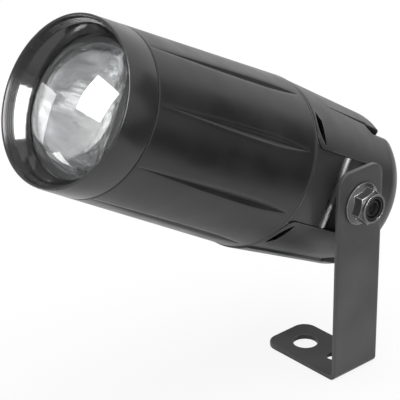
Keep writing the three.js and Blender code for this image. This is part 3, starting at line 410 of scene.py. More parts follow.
class Recipe(Nodes):
    """A material under construction, with its shader and its place on the object."""

    def __init__(self, name):
        self.material = bpy.data.materials.new(name)
        super().__init__(self.material)
        self.shader = self.tree.nodes["Principled BSDF"]
        self.place = self.add("ShaderNodeTexCoord").outputs["Object"]

    def placed(self, kind, **values):
        """A node whose vector is the place on the object."""
        node = self.add(kind, **values)
        self.join(self.place, node.inputs["Vector"])
        return node

    def noise(self, scale, detail=3.0):
        """A cloudy noise over the object."""
        return self.placed("ShaderNodeTexNoise", Scale=scale, Detail=detail).outputs["Fac"]

    def span(self, source, low, high, start=0.0, end=1.0):
        """low where the source is at its start and high at its end, held outside."""
        node = self.add("ShaderNodeMapRange")
        self.join(source, node.inputs["Value"])
        for key, value in {"From Min": start, "From Max": end, "To Min": low, "To Max": high}.items():
            node.inputs[key].default_value = value
        return node.outputs["Result"]

    def blend(self, share, first, second):
        """The first colour at share 0 and the second at share 1; each is a colour or an output."""
        node = self.add("ShaderNodeMix", data_type="RGBA")
        self.join(share, node.inputs["Factor"])
        for key, value in (("A", first), ("B", second)):
            self.feed(next(s for s in node.inputs if s.name == key and s.type == "RGBA"), value)
        return next(s for s in node.outputs if s.type == "RGBA")

    def bump(self, height, strength, distance, after=None):
        """A normal that is tipped by a height, over a distance in millimetres."""
        node = self.add("ShaderNodeBump", Strength=strength, Distance=distance * MM)
        self.join(height, node.inputs["Height"])
        if after is not None:
            self.join(after, node.inputs["Normal"])
        return node.outputs["Normal"]

    def worn_and_highlit_edges(self):
        """A share that is 1 on outer edges, from how pointed the mesh is. The edges it picks are painted
        lighter, partly as wear and partly as painted highlights along rims.
        """
        return self.span(self.add("ShaderNodeNewGeometry").outputs["Pointiness"], 0.0, 1.0, *EDGE_POINTINESS)

    def dress(self, **values):
        """Feeds the shader's inputs, whose names are written with underscores, and gives the material."""
        for key, value in values.items():
            self.feed(self.shader.inputs[key.replace("_", " ")], value)
        return self.material


def shades(colour, drift):
    """The colour made darker and lighter by a share."""
    return tuple(c * (1 - drift) for c in colour), tuple(c * (1 + drift) for c in colour)


def moulded(name, colour, roughness, grain=1400, depth=0.012, specular=0.5, coat=0.0, edge=None, drift=0.25):
    """Moulded plastic or powder coat: a fine grain, slow changes of shade and gloss, and edges painted lighter,
    partly as wear and partly as painted edge highlights.
    """
    made = Recipe(name)
    slow, fine = made.noise(28, 4), made.noise(grain, 2)
    tint = made.blend(made.span(slow, 0, 1, 0.35, 0.65), *shades(colour, drift))
    # The edge colour is painted on pointed edges: partly wear, partly painted highlight along rims and lips.
    if edge:
        tint = made.blend(made.worn_and_highlit_edges(), tint, edge)
    gloss = made.span(made.noise(90, 5), roughness * 0.85, roughness * 1.15, 0.3, 0.7)
    return made.dress(Base_Color=tint, Roughness=gloss, Normal=made.bump(fine, 0.5, depth),
                      Specular_IOR_Level=specular, Coat_Weight=coat)


def metal(name, colour, roughness, grain=600, depth=0.01, stretch=(1, 1, 1), drift=0.12, metallic=1.0):
    """Plated or bare metal: fine lines of the given stretch, slow changes of shade and a mottled gloss."""
    made = Recipe(name)
    lines = made.placed("ShaderNodeMapping", vector_type="POINT", Scale=stretch)
    brushed = made.add("ShaderNodeTexNoise", Scale=grain, Detail=3.0)
    made.join(lines.outputs["Vector"], brushed.inputs["Vector"])
    tint = made.blend(made.noise(60, 4), *shades(colour, drift))
    gloss = made.span(made.noise(160, 4), roughness * 0.8, roughness * 1.25, 0.3, 0.7)
    return made.dress(Metallic=metallic, Base_Color=tint, Roughness=gloss,
                      Normal=made.bump(brushed.outputs["Fac"], 0.4, depth))


# Each edge colour paints the rims lighter: partly wear, partly painted highlight along edges and lips.
sleeve_black = moulded("sleeve_black", (0.012, 0.012, 0.013), 0.33, grain=1500, depth=0.010,
                       edge=(0.05, 0.05, 0.052))
cover_black = moulded("cover_black", (0.024, 0.024, 0.025), 0.38, grain=1300, depth=0.014,
                      edge=(0.055, 0.055, 0.056))
bezel_black = moulded("bezel_black", (0.014, 0.014, 0.015), 0.26, grain=1500, depth=0.008,
                      edge=(0.08, 0.08, 0.082))
throat_gloss = moulded("throat_gloss", (0.016, 0.016, 0.017), 0.10, grain=700, depth=0.045, specular=0.6,
                       coat=0.3)
housing_black = moulded("housing_black", (0.052, 0.052, 0.053), 0.22, grain=900, depth=0.006,
                        edge=(0.05, 0.05, 0.05))
bracket_coat = moulded("bracket_coat", (0.064, 0.064, 0.066), 0.34, grain=1100, depth=0.02, specular=0.4,
                       edge=(0.09, 0.09, 0.09))
nylon_black = moulded("nylon_black", (0.014, 0.014, 0.015), 0.50, grain=800, depth=0.02)
rubber_black = moulded("rubber_black", (0.012, 0.012, 0.012), 0.70, grain=500, depth=0.03, specular=0.3)
solder_white = moulded("solder_white", (0.72, 0.72, 0.69), 0.45, grain=700, depth=0.01, drift=0.05)
solder_green = moulded("solder_green", (0.03, 0.16, 0.07), 0.40, grain=700, depth=0.01)
phosphor_yellow = moulded("phosphor_yellow", (0.75, 0.62, 0.18), 0.25, grain=900, depth=0.01,
                          coat=0.6, drift=0.1)
pad_pink = moulded("pad_pink", (0.50, 0.34, 0.36), 0.80, grain=500, depth=0.03)
tape_yellow = moulded("tape_yellow", (0.58, 0.40, 0.06), 0.50, grain=300, depth=0.03)
# The nut's very light edge colour is mostly a painted highlight on its facet edges, flange and collar.
zinc_black = moulded("zinc_black", (0.036, 0.036, 0.038), 0.24, grain=500, depth=0.014, specular=0.9,
                     edge=(0.45, 0.45, 0.46))
bolt_black = metal("bolt_black", (0.022, 0.022, 0.024), 0.40, grain=500, depth=0.02, metallic=0.3)
bare_edge = metal("bare_edge", (0.78, 0.78, 0.79), 0.30, grain=420, depth=0.08, drift=0.15)
steel_plain = metal("steel_plain", (0.50, 0.50, 0.52), 0.32, grain=600, depth=0.01)
aluminium_bare = metal("aluminium_bare", (0.62, 0.62, 0.64), 0.38, grain=700, depth=0.01, stretch=(1, 0.1, 1))


def mirror_coat():
    """Metallised plastic with the slight dimpling of a spotlight reflector, and a fine dust."""
    made = Recipe("mirror_coat")
    patches = made.blend(made.span(made.noise(130, 5), 0, 1, 0.40, 0.60), (0.62, 0.62, 0.63), (1.0, 1.0, 1.0))
    specks = made.blend(made.span(made.noise(1100, 3), 0, 1, 0.42, 0.62), (0.66, 0.66, 0.67), patches)
    gloss = made.span(made.noise(300, 4), 0.10, 0.30, 0.3, 0.7)
    cells = made.placed("ShaderNodeTexVoronoi", Scale=300.0, feature="SMOOTH_F1")
    dimples = made.bump(cells.outputs["Distance"], 1.0, 0.35)
    return made.dress(Metallic=1.0, Base_Color=specks, Roughness=gloss,
                      Normal=made.bump(made.noise(700, 3), 0.8, 0.15, dimples))


def lens_glass():
    """Pressed clear glass: polished, with a faint waviness."""
    made = Recipe("lens_glass")
    gloss = made.span(made.noise(200, 4), 0.0, 0.03, 0.45, 0.75)
    return made.dress(Base_Color=(0.97, 0.985, 0.98), Transmission_Weight=1.0, IOR=1.5, Roughness=gloss,
                      Normal=made.bump(made.noise(45, 2), 0.25, 0.05))


reflector_mirror = mirror_coat()
glass_clear = lens_glass()


# Main sleeve

def sleeve_radius(along):
    """The sleeve's cone: its radius at a station along the beam."""
    return mix(SLEEVE_REAR_R, SLEEVE_FRONT_R, (along - SLEEVE_REAR) / (SLEEVE_FRONT - SLEEVE_REAR))


def flute_share(along):
    """Width of a flute: a quarter sine from its front tip to its widest place, then a parabola to its rear."""
    share = np.clip((FLUTE_FRONT - along) / (FLUTE_FRONT - FLUTE_REAR), 0, 1)
    swell = np.sin(np.clip(share / FLUTE_WIDEST, 0, 1) * math.pi / 2) ** FLUTE_SWELL
    close = np.clip(1 - ((share - FLUTE_WIDEST) / (1 - FLUTE_WIDEST)) ** 2, 0, 1)
    return np.where(share < FLUTE_WIDEST, swell, close)


def make_sleeve():
    """r(a, h) = R(h) - depth(h) f(s), where s runs from -1 to 1 over a flute and f is a rounded V. A fine V
    line runs round near the rear rim. The columns follow the flutes' edges, so each edge is a line of the grid.
    """
    outer = np.concatenate([
        SLEEVE_REAR + RIM_LINE + RIM_LINE_HALF * np.array([-1.6, -1, -0.5, 0, 0.5, 1]),
        np.linspace(SLEEVE_REAR + RIM_LINE + 3 * RIM_LINE_HALF, FLUTE_REAR, 4, endpoint=False),
        mix(FLUTE_REAR, FLUTE_FRONT, np.sin(np.linspace(0, math.pi / 2, 90)) ** 2),
        [SLEEVE_FRONT - RIM_ROUND],
    ])
    line = RIM_LINE_DEPTH * np.clip(1 - np.abs(outer - SLEEVE_REAR - RIM_LINE) / RIM_LINE_HALF, 0, 1)
    turn = np.linspace(0, math.pi / 2, 5)[1:]
    front_along = SLEEVE_FRONT - RIM_ROUND + RIM_ROUND * np.sin(turn)
    front_drop = RIM_ROUND * (1 - np.cos(turn))
    inner = np.linspace(SLEEVE_FRONT - SLEEVE_CHAMFER, SLEEVE_REAR + SLEEVE_CHAMFER, 8)
    along = np.concatenate([
        outer, front_along, [SLEEVE_FRONT], inner, [SLEEVE_REAR],
        SLEEVE_REAR + SLEEVE_FRONT - front_along[::-1],
    ])
    radius = np.concatenate([
        sleeve_radius(outer) - SLEEVE_SKIN - line,
        sleeve_radius(SLEEVE_FRONT) - SLEEVE_SKIN - front_drop,
        [sleeve_radius(SLEEVE_FRONT) - SLEEVE_WALL + SLEEVE_CHAMFER],
        sleeve_radius(inner) - SLEEVE_WALL,
        [SLEEVE_REAR_R - SLEEVE_WALL + SLEEVE_CHAMFER],
        SLEEVE_REAR_R - SLEEVE_SKIN - front_drop[::-1],
    ])
    on_outside = np.zeros(len(along))
    on_outside[:len(outer)] = 1
    width = np.maximum(FLUTE_HALF * flute_share(along) * on_outside, 0.02) / radius
    depth = FLUTE_DEPTH * flute_share(along) * on_outside
    section = np.linspace(-1, 1, 13)
    v_shape, round_shape = 1 - np.abs(section), (1 + np.cos(math.pi * section)) / 2
    flute = mix(v_shape, round_shape, FLUTE_ROUNDING)[:, None] * depth[None]
    between = np.linspace(0, 1, 16)[1:-1, None]
    plain = np.zeros((len(between), len(along)))
    middles = np.append(FLUTE_ANGLES, FLUTE_ANGLES[0] + 2 * math.pi)
    angles, carve = [], []
    for middle, following in zip(middles, middles[1:]):
        angles += [middle + section[:, None] * width[None],
                   mix(middle + width[None], following - width[None], between)]
        carve += [flute, plain]
    angle, cut = np.concatenate(angles), np.concatenate(carve)
    points = forward(radius[None] - cut, along[None], angle)
    piece = surface("fluted_sleeve", points, wrap_v=True)
    finish(piece, sleeve_black, "satin_black", "main_sleeve")


# Front bezel, lens and what holds the lens

def make_bezel():
    """A ring profile carried round the beam: outer wall, rounded lip, a cone with a few fine lines, a shiny
    narrower cone behind it, the lens seat and the spigot.
    """
    lip_inner = BEZEL_R - BEZEL_LIP
    lip, bend = np.array([lip_inner, BEZEL_FRONT]), np.array([BEND_R, THROAT_BEND])
    slope = unit(bend - lip)
    lines = []
    for share in np.linspace(LINES_FROM, LINES_TO, THROAT_LINES):
        middle = mix(lip, bend, share)
        before, after = middle - slope * LINE_HALF, middle + slope * LINE_HALF
        lines += [(*before, LINE_EDGE), (middle[0] + LINE_DEPTH, middle[1], LINE_EDGE), (*after, LINE_EDGE)]
    face = BEZEL_FRONT - BEZEL_FACE_INSET
    profile = rounded([
        (SPIGOT_BORE, SPIGOT_REAR, 0.3),
        (SPIGOT_R, SPIGOT_REAR, 0.4),
        (SPIGOT_R, BEZEL_REAR, 0.1),
        (SLEEVE_FRONT_R - BEZEL_REAR_INSET, BEZEL_REAR, 0.4),
        (BEZEL_R - BEZEL_WALL_INSET, face, 0.4),
        (lip_inner, face, 0.35),
        *lines,
        (BEND_R, THROAT_BEND, 0.1),
        (THROAT_R, LENS_SEAT + 1.0, 0.3),
        (THROAT_R, LENS_SEAT, 0.2),
        (SPIGOT_BORE, LENS_SEAT, 0.1),
    ], steps=4)
    piece = surface("bezel_ring", turned(profile, 192), wrap_v=True)
    finish(piece, bezel_black, "satin_black", "front_bezel", sharp=50)
    x, along, up, _ = face_places(piece)
    in_throat = (along > LENS_SEAT + BEND_MARGIN) & (along < THROAT_BEND) & (np.hypot(x, up) < BEND_R)
    second_finish(piece, throat_gloss, in_throat)


def make_lens():
    """A spherical dome over a flat flange: r = S sin(t), h = centre + S cos(t), carried round the beam."""
    sphere = (LENS_R ** 2 + LENS_DOME ** 2) / (2 * LENS_DOME)
    base = LENS_SEAT - GAP
    turn = np.linspace(math.asin(LENS_R / sphere), 0, 40)
    dome = np.stack([sphere * np.sin(turn), base + LENS_DOME - sphere + sphere * np.cos(turn)], 1)
    dome[-1, 0] = 0
    flange_r = SPIGOT_BORE - GAP
    flange = rounded([
        (0, base - LENS_FLANGE, 0),
        (flange_r, base - LENS_FLANGE, 0.4),
        (flange_r, base, 0.4),
        (LENS_R, base, 0),
    ], closed=False, steps=4)
    back = np.stack([np.linspace(0, flange_r - 2, 12), np.full(12, base - LENS_FLANGE)], 1)
    profile = np.concatenate([back, flange[1:-1], dome])
    piece = surface("domed_lens", turned(profile, 160))
    finish(piece, glass_clear, "lens_glass", "condenser_lens", sharp=60)


def ring(name, bore, outer, start, end, edge, material, slot, *nodes, about=forward):
    """A rectangular section with rounded corners carried round an axis."""
    corners = [(bore, start, edge), (outer, start, edge), (outer, end, edge), (bore, end, edge)]
    piece = surface(name, turned(rounded(corners, steps=4), about=about), wrap_v=True)
    return finish(piece, material, slot, *nodes)


# Rear cover

def cover_radius(along):
    """The cover's cone: its radius at a station along the beam."""
    return mix(COVER_FRONT_R, COVER_REAR_R, (COVER_FRONT - along) / (COVER_FRONT + DOME_START))


def dome_radius(along):
    """The shell's radius over the cone and its domed end, at a station along the axis."""
    drop = np.clip(-DOME_START - along, 0, DOME_R)
    dome = COVER_REAR_R - DOME_R + np.sqrt(DOME_R ** 2 - drop ** 2)
    return np.where(along > -DOME_START, cover_radius(along), dome)


def on_flat(radius, along, angle, flat_at):
    """A radius held under the flat's height / |sin a|, with the fillet that leads into the flat, before which
    the height soars, and an edge that is softer towards the dome's end.
    """
    into = np.clip(along + flat_at + FLAT_FILLET, 0, FLAT_FILLET)
    height = FLAT_HEIGHT + FLAT_FILLET - np.sqrt(FLAT_FILLET ** 2 - into ** 2)
    height = height + FLAT_SOAR * np.clip(along + flat_at, 0, None)
    soft = mix(FLAT_EDGE, FLAT_EDGE_END, smooth((-along - DOME_START - 1) / 6))
    return soft_least(radius, under_flat(height, angle), soft)


def ramp(start, end, count, first=0, last=None):
    """Evenly spaced stations from start to end, one row for each row of start and end, with only some kept."""
    share = np.linspace(0, 1, count)[None, first:last]
    return start + (end - start) * share


def cover_columns(half):
    """The angles of the shell's columns, a row for each. At a rail's edge the half width given for each station
    spreads them. Also the share of each column that is rail, and the depth share of the V groove at the edge.
    """
    section = np.linspace(-1, 1, EDGE_COLUMNS)[:, None]
    edges = [middle + turn for middle in (math.pi / 2, 3 * math.pi / 2) for turn in (-RAIL_HALF, RAIL_HALF)]
    angle, rail, groove = [], [], []
    for i, edge in enumerate(edges):
        into_rail = 1 if i % 2 == 0 else -1
        following = edges[(i + 1) % 4] + (2 * math.pi if i == 3 else 0)
        count = RAIL_COLUMNS if i % 2 == 0 else OPEN_COLUMNS
        plain = np.linspace(0, 1, count + 2)[1:-1, None]
        here, there = half[i // 2], half[(i + 1) // 2 % 2]
        angle += [edge + section * here, mix(edge + here, following - there, plain)]
        rail += [smooth(section * into_rail * 1.6 + 0.5), np.full((count, 1), float(i % 2 == 0))]
        groove += [1 - np.abs(section), np.zeros((count, 1))]
    return np.concatenate(angle), np.concatenate(rail), np.concatenate(groove)


def make_cover():
    """A polar grid. Off the rails r(a, h) is the soft least of the cone with its dome and of the flat's height
    / |sin a|. On a rail the stations run along the cone, round the rail's end and down it to the flat. The two
    turn into each other over a narrow band at the rail's edge, and a V groove that widens rearwards is taken
    off along that edge. Inside, a plain wall runs forward from the dome's end to the front rim.
    """
    fore_count, aft_count, past_count, dome_count, end_count, inner_count = 56, 72, 16, 46, 7, 41
    side_count = fore_count + aft_count
    outer_count = side_count + past_count
    total = outer_count + dome_count + end_count + inner_count
    coarse = cover_columns(np.full((2, 1), EDGE_HALF / COVER_REAR_R))[0]
    low = smooth(0.5 - np.sin(coarse) / 1.5)  # 0 at the top of the shell, 1 at the bottom
    beyond, flat_at = mix(RAIL_BEYOND, LOW_RAIL_BEYOND, low), mix(FLAT_START, LOW_FLAT_START, low)
    rail_end = -DOME_START - beyond
    before_flat = FLAT_LEAD - flat_at
    side = np.concatenate([
        ramp(COVER_FRONT - 0.5, before_flat, fore_count + 1, 0, -1),
        ramp(before_flat, rail_end + RAIL_EDGE, aft_count),
    ], 1)
    groove_end = -flat_at - FLAT_FILLET / 2
    back = np.clip((GROOVE_START - side) / (GROOVE_START - groove_end), 0, 1)
    back = back * (1 - smooth((groove_end - side) / 1.2))
    edge_rows = [EDGE_COLUMNS // 2, 2 * EDGE_COLUMNS + RAIL_COLUMNS + OPEN_COLUMNS + EDGE_COLUMNS // 2]
    half = np.full((2, total), EDGE_HALF)
    half[:, :side_count] = np.maximum(GROOVE_HALF * back[edge_rows], EDGE_HALF)
    spread = np.clip(np.arange(total - outer_count) / 20, 0, 1)
    half[:, outer_count:] = mix(EDGE_HALF, EDGE_HALF_END, spread)
    angle, rail, groove = cover_columns(half / COVER_REAR_R)

    past = ramp(rail_end + RAIL_EDGE, rail_end, past_count + 2, 1, -1)
    turn = ramp(np.arcsin(beyond / DOME_R), math.pi / 2, dome_count)
    turn_in = np.linspace(math.pi / 2, 0, 16)
    inner_r = np.concatenate([
        [GLAND_R + GAP], COVER_REAR_R - DOME_R + (DOME_R - COVER_WALL) * np.cos(turn_in),
        np.linspace(COVER_REAR_R, COVER_FRONT_R, 22)[1:] - COVER_WALL,
        [COVER_FRONT_R - COVER_WALL + 0.25, COVER_FRONT_R - 0.45, COVER_FRONT_R - 0.13],
    ])
    inner_h = np.concatenate([
        [COVER_END + COVER_WALL], -DOME_START - (DOME_R - COVER_WALL) * np.sin(turn_in),
        np.linspace(-DOME_START, COVER_FRONT - 0.2, 22)[1:],
        [COVER_FRONT, COVER_FRONT, COVER_FRONT - 0.13],
    ])
    end_h = np.full(end_count, COVER_END)
    end_r = np.linspace(COVER_REAR_R - DOME_R, GLAND_R + GAP, end_count + 1)[1:]

    off_h = np.concatenate([side, past], 1)
    off_r = on_flat(dome_radius(off_h), off_h, angle[:, :outer_count], flat_at)
    proud = LOW_RAIL_PROUD * (low > 0.5)
    quarter = np.linspace(0, math.pi / 2, 9)[None, 1:]
    crest = cover_radius(rail_end) + proud - RAIL_EDGE
    foot = on_flat(crest + RAIL_EDGE, rail_end, angle[:, outer_count - 1:outer_count], flat_at)
    rail_r = np.concatenate([
        cover_radius(side) + proud,
        crest + RAIL_EDGE * np.cos(quarter),
        ramp(crest, np.minimum(foot, crest - 0.2), 9, 1),
    ], 1)
    rail_h = np.concatenate([side, rail_end + RAIL_EDGE * (1 - np.sin(quarter)), np.repeat(rail_end, 8, 1)], 1)
    outer_r = mix(off_r, rail_r, rail) - GROOVE_DEPTH * groove * np.concatenate([back, 0 * past], 1)
    outer_h = mix(off_h, rail_h, rail)

    dome_h = -DOME_START - DOME_R * np.sin(turn)
    dome_angle = angle[:, outer_count:outer_count + dome_count]
    dome_r = on_flat(COVER_REAR_R - DOME_R + DOME_R * np.cos(turn), dome_h, dome_angle, flat_at)
    inner_angle = angle[:, -inner_count:]
    inner_top = FLAT_HEIGHT - COVER_WALL + 20 * smooth((inner_h + FLAT_START - COVER_WALL) / 2)
    inner = soft_least(inner_r[None], under_flat(inner_top, inner_angle), 0.3)
    inner[:, -2:] += proud * rail
    rows = np.ones_like(low)
    radius = np.concatenate([outer_r, dome_r, end_r * rows, inner], 1)
    along = np.concatenate([outer_h, dome_h, end_h * rows, inner_h * rows], 1)
    piece = surface("cover_shell", forward(radius, along, angle), wrap_v=True)
    cut_cover(piece)
    bevel(piece, 0.3)
    finish(piece, cover_black, "satin_black", "rear_cover", sharp=32)


def notch_outline(front, clearance):
    """The notch's U with flared ends, drawn in y and up and made smaller all round by a clearance."""
    half, rear, rim = NOTCH_HALF - clearance, NOTCH_REAR - clearance, -COVER_FRONT - clearance
    flare, corner = NOTCH_FLARE + clearance, NOTCH_CORNER - clearance
    wide = half + flare + GAP
    return rounded([
        (front, -wide, 0), (rim, -wide, 0), (rim, -half, flare), (rear, -half, corner), (rear, half, corner),
        (rim, half, flare), (rim, wide, 0), (front, wide, 0),
    ], steps=12)


def cut_cover(piece):
    """Cuts the arm's notch, the two crescent slots, the vents and the screws' recesses."""
    notch = prism("notch", notch_outline(-COVER_FRONT - 6, 0), *NOTCH_CUT, lambda a, b, d: (d, a, b))
    combine(piece, notch, "DIFFERENCE")
    for side in (1, -1):
        combine(piece, crescent(side), "DIFFERENCE")
    for i in range(VENT_COUNT):
        combine(piece, vent((i + 0.5) * 2 * math.pi / VENT_COUNT), "DIFFERENCE")
    for x, up in cover_screw_places():
        wide, seat = SCREW_HEAD_R + GAP, SCREW_SEAT + GAP
        recess = turned([(0, -60), (wide, -60), (wide, seat), (0, seat)], 32)
        combine(piece, surface("recess", recess + np.array([x, 0, up])), "DIFFERENCE")


def crescent(side):
    """Two parabolas between the slot's tips, pushed outwards and forwards and turned to the slot's place."""
    lip = -(COVER_FRONT - CRESCENT_LIP)
    share = np.linspace(0, 1, 16)[:, None]
    tip = np.array([lip, CRESCENT_HALF * side])
    toe = np.array([lip + CRESCENT_DROP, -CRESCENT_HALF * side])
    near = np.array([lip - CRESCENT_LIP, -CRESCENT_HALF * side / 2])
    wide = np.array([lip + CRESCENT_DROP, 0])
    far = np.array([lip + CRESCENT_WIDTH, CRESCENT_HALF * side / 2])
    first = (1 - share) ** 2 * tip + 2 * share * (1 - share) * near + share ** 2 * toe
    second = (1 - share) ** 2 * toe + 2 * share * (1 - share) * wide + share ** 2 * far
    outline = np.concatenate([first, second[1:]])
    c, s = math.cos(CRESCENT_ANGLE * side), math.sin(CRESCENT_ANGLE * side)

    def lay(a, b, depth):
        return depth * c - b * s, a + CRESCENT_RAKE * (COVER_FRONT_R - depth), depth * s + b * c

    return prism("crescent", outline, *CRESCENT_CUT, lay)


def vent(angle):
    """A slot with round ends, moved out to the vents' circle and turned to its angle."""
    half, width, end = VENT_LENGTH / 2, VENT_WIDTH / 2, 0.95
    outline = rounded([(-width, -half, end), (width, -half, end), (width, half, end), (-width, half, end)])
    outline[:, 1] += VENT_CIRCLE
    c, s = math.cos(angle), math.sin(angle)

    def lay(a, b, depth):
        return a * c - b * s, depth, a * s + b * c

    return prism("vent", outline, -COVER_END - 5, -COVER_END + 5, lay)


def cover_screw_places():
    """The four cover screws' places across the beam, two in each rail."""
    middles = (math.pi / 2, -math.pi / 2)
    angles = [middle + turn for middle in middles for turn in (-COVER_SCREW_SPREAD, COVER_SCREW_SPREAD)]
    return [(COVER_SCREW_CIRCLE * math.cos(a), COVER_SCREW_CIRCLE * math.sin(a)) for a in angles]


def make_cover_screws():
    """Pan heads with a cross recess. The head's height over its polar grid is a part of its full height, plus
    the rest times a power of the cosine, less the cross's depth.
    """
    steps, shank_end = 96, SCREW_SEAT + COVER_SCREW_LENGTH
    angle = full_turn(steps)
    share = np.linspace(0, 1, 26)[None]
    radius = SCREW_HEAD_R * np.sin(share * math.pi / 2)
    height = SCREW_HEAD_H * mix(SCREW_RIM_SHARE, 1, np.cos(share * math.pi / 2) ** SCREW_CROWN)
    px, py = radius * np.cos(angle), radius * np.sin(angle)
    arm = 1 - smooth((np.minimum(np.abs(px), np.abs(py)) - CROSS_HALF) / CROSS_SIDE_FALL)
    reach = 1 - smooth((np.maximum(np.abs(px), np.abs(py)) - CROSS_REACH) / CROSS_END_FALL)
    height = np.broadcast_to(height, px.shape) - CROSS_DEPTH * arm * reach
    head = np.stack([px, -(SCREW_SEAT - height), py], -1)
    shank = [(SCREW_HEAD_R, SCREW_SEAT), (SCREW_R, SCREW_SEAT), (SCREW_R, shank_end), (0, shank_end)]
    screw = np.concatenate([head, turned(shank, steps)], 1)
    for i, (x, up) in enumerate(cover_screw_places()):
        points = screw + np.array([x, 0, up])
        piece = surface(f"cover_screw_head_{i + 1}", points)
        finish(piece, zinc_black, "black_zinc", f"cover_screw_{i + 1}")


# Inner housing

def housing_radius(along):
    """The housing's cone, a wall and a gap inside the cover's."""
    return cover_radius(along) - COVER_WALL - GAP


def make_housing():
    """A turned cup with a flat-sided cavity, and a block in its side that fills the arm's notch. The block's
    pad rolls off rearwards to a floor, from which the boss rises.
    """
    spigot_end = SLEEVE_REAR + SPIGOT_LENGTH
    pad_front = SLEEVE_REAR - GAP
    spigot = [sleeve_radius(at) - SLEEVE_WALL - GAP for at in (SLEEVE_REAR, spigot_end)]
    stations = np.concatenate([
        np.linspace(-DOME_START, -HOUSING_FLAT, 12),
        np.linspace(-HOUSING_FLAT + 0.1, pad_front, 20),
    ])
    profile = np.concatenate([
        [(0, -DOME_START)],
        np.stack([housing_radius(stations), stations], 1),
        [(spigot[0], SLEEVE_REAR), (spigot[1], spigot_end), (0, spigot_end)],
    ])
    angle = full_turn(240)
    limit = np.where(profile[:, 1] <= -HOUSING_FLAT, FLAT_HEIGHT - COVER_WALL - GAP, 90)
    radius = np.minimum(profile[None, :, 0], under_flat(limit[None], angle))
    piece = surface("housing_cup", forward(radius, profile[None, :, 1], angle))
    cavity_front = spigot_end - BULKHEAD
    cavity = turned([
        (0, -DOME_START - 3), (housing_radius(-DOME_START) - HOUSING_WALL, -DOME_START - 3),
        (spigot[1] - HOUSING_WALL, cavity_front), (0, cavity_front),
    ], 96)
    cavity = surface("cavity", cavity)
    limit = [(-40, -40, 0), (CAVITY_X, -40, 0), (CAVITY_X, 40, 0), (-40, 40, 0)]
    combine(cavity, prism("limit", rounded(limit), -60, 60, lambda a, b, d: (a, d, b)), "INTERSECT")
    combine(piece, cavity, "DIFFERENCE")
    block = prism("block", notch_outline(-pad_front, GAP), BLOCK_X, PAD_X + 3, lambda a, b, d: (d, a, b))
    limit = turned([(0, -DOME_START), (cover_radius(-DOME_START) - GAP, -DOME_START),
                    (cover_radius(pad_front) - GAP, pad_front), (0, pad_front)], 180)
    combine(block, surface("limit", limit), "INTERSECT")
    combine(piece, block, "UNION")
    turn = np.linspace(math.acos(1 - (PAD_X - FLOOR_X) / PAD_ROLL_R), 0, 22)
    roll = np.stack([PAD_X - PAD_ROLL_R * (1 - np.cos(turn)), -PAD_ROLL_AT + PAD_ROLL_R * np.sin(turn)], 1)
    rear = NOTCH_REAR + POCKET_MARGIN
    outline = np.concatenate([[[PAD_X, -pad_front], [40, -pad_front], [40, rear], [FLOOR_X, rear]], roll])
    half = NOTCH_HALF + POCKET_MARGIN
    combine(piece, prism("pocket", outline, -half, half, lambda a, b, d: (a, b, d)), "DIFFERENCE")
    boss = rounded([
        (0, CAVITY_X, 0), (BOSS_R, CAVITY_X, 0), (BOSS_R, BOSS_FACE, 0.5), (0, BOSS_FACE, 0),
    ], closed=False)
    combine(piece, surface("boss", turned(boss, 96, across)), "UNION")
    bore, start, end = BOLT_R + GAP, CAVITY_X - 3, BOSS_FACE + 3
    hole = turned([(0, start), (bore, start), (bore, end), (0, end)], 48, across)
    combine(piece, surface("hole", hole), "DIFFERENCE")
    for side in (1, -1):
        combine(piece, crescent(side), "DIFFERENCE")
    bevel(piece, 0.25)
    finish(piece, housing_black, "housing_black", "inner_housing", sharp=24)
    x, along, up, normal = face_places(piece)
    on_roll = (along < PAD_ROLL_AT) & (along > 1) & (x > FLOOR_X + 0.3) & (x < PAD_X + 0.1)
    faces_out = (np.abs(normal[:, 2]) < 0.1) & (normal[:, 0] > 0.3)
    second_finish(piece, bare_edge, on_roll & faces_out & (np.abs(up) < NOTCH_HALF + 1))
    weigh(piece)


# Bracket

def make_bracket():
    """The developed strip as patches in (s, w), ruled from each hole to its patch's outline, bent by
    P(s, w) = (foot, then an arc, then the arm), and then given its thickness and rounded edges.
    """
    across_count = 24
    foot_end = ARM_OUT - FOOT_LENGTH
    bend_start = ARM_IN - BEND_IN - foot_end
    middle_r = BEND_IN + SHEET / 2
    bend_end = bend_start + middle_r * math.pi / 2
    arm_rise = PIVOT_UP - (BEND_IN + SHEET)
    top = bend_end + arm_rise + ARM_ABOVE
    clamp_s, safety_s = FOOT_LENGTH - CLAMP_FROM_ARM, FOOT_LENGTH - SAFETY_FROM_ARM
    pivot_s = bend_end + arm_rise
    split = (clamp_s + safety_s) / 2
    below = pivot_s - ARM_ABOVE
    patches = [
        ring_patch(0, split, clamp_s, CLAMP_R, CORNER_R, 0, across_count),
        ring_patch(split, bend_start, safety_s, SAFETY_R, 0, 0, across_count),
        plain_patch(bend_start, bend_end, 12, across_count),
        plain_patch(bend_end, below, 30, across_count),
        ring_patch(below, top, pivot_s, BOLT_R + GAP, 0, CORNER_R, across_count),
    ]
    points, faces, count = [], [], 0
    for flat, patch_faces in patches:
        points.append(flat)
        faces.append(patch_faces + count)
        count += len(flat)
    flat, faces = np.concatenate(points), np.concatenate(faces)
    s, w = flat[:, 0], flat[:, 1]
    turn = np.clip((s - bend_start) / middle_r, 0, math.pi / 2)
    x = foot_end + np.minimum(s, bend_start) + middle_r * np.sin(turn)
    z = SHEET / 2 + middle_r * (1 - np.cos(turn)) + np.maximum(s - bend_end, 0)
    bent = np.stack([x, w, z], 1)
    piece = solid("bent_bracket", bent, faces, FLOOR_PLACE)
    sheet = piece.modifiers.new("sheet", "SOLIDIFY")
    sheet.thickness, sheet.offset, sheet.use_even_offset = SHEET * MM, 0, True
    bake_down(piece)
    bevel(piece, 0.3, angle=50)
    finish(piece, bracket_coat, "powder_coat", "bracket", body="bracket")


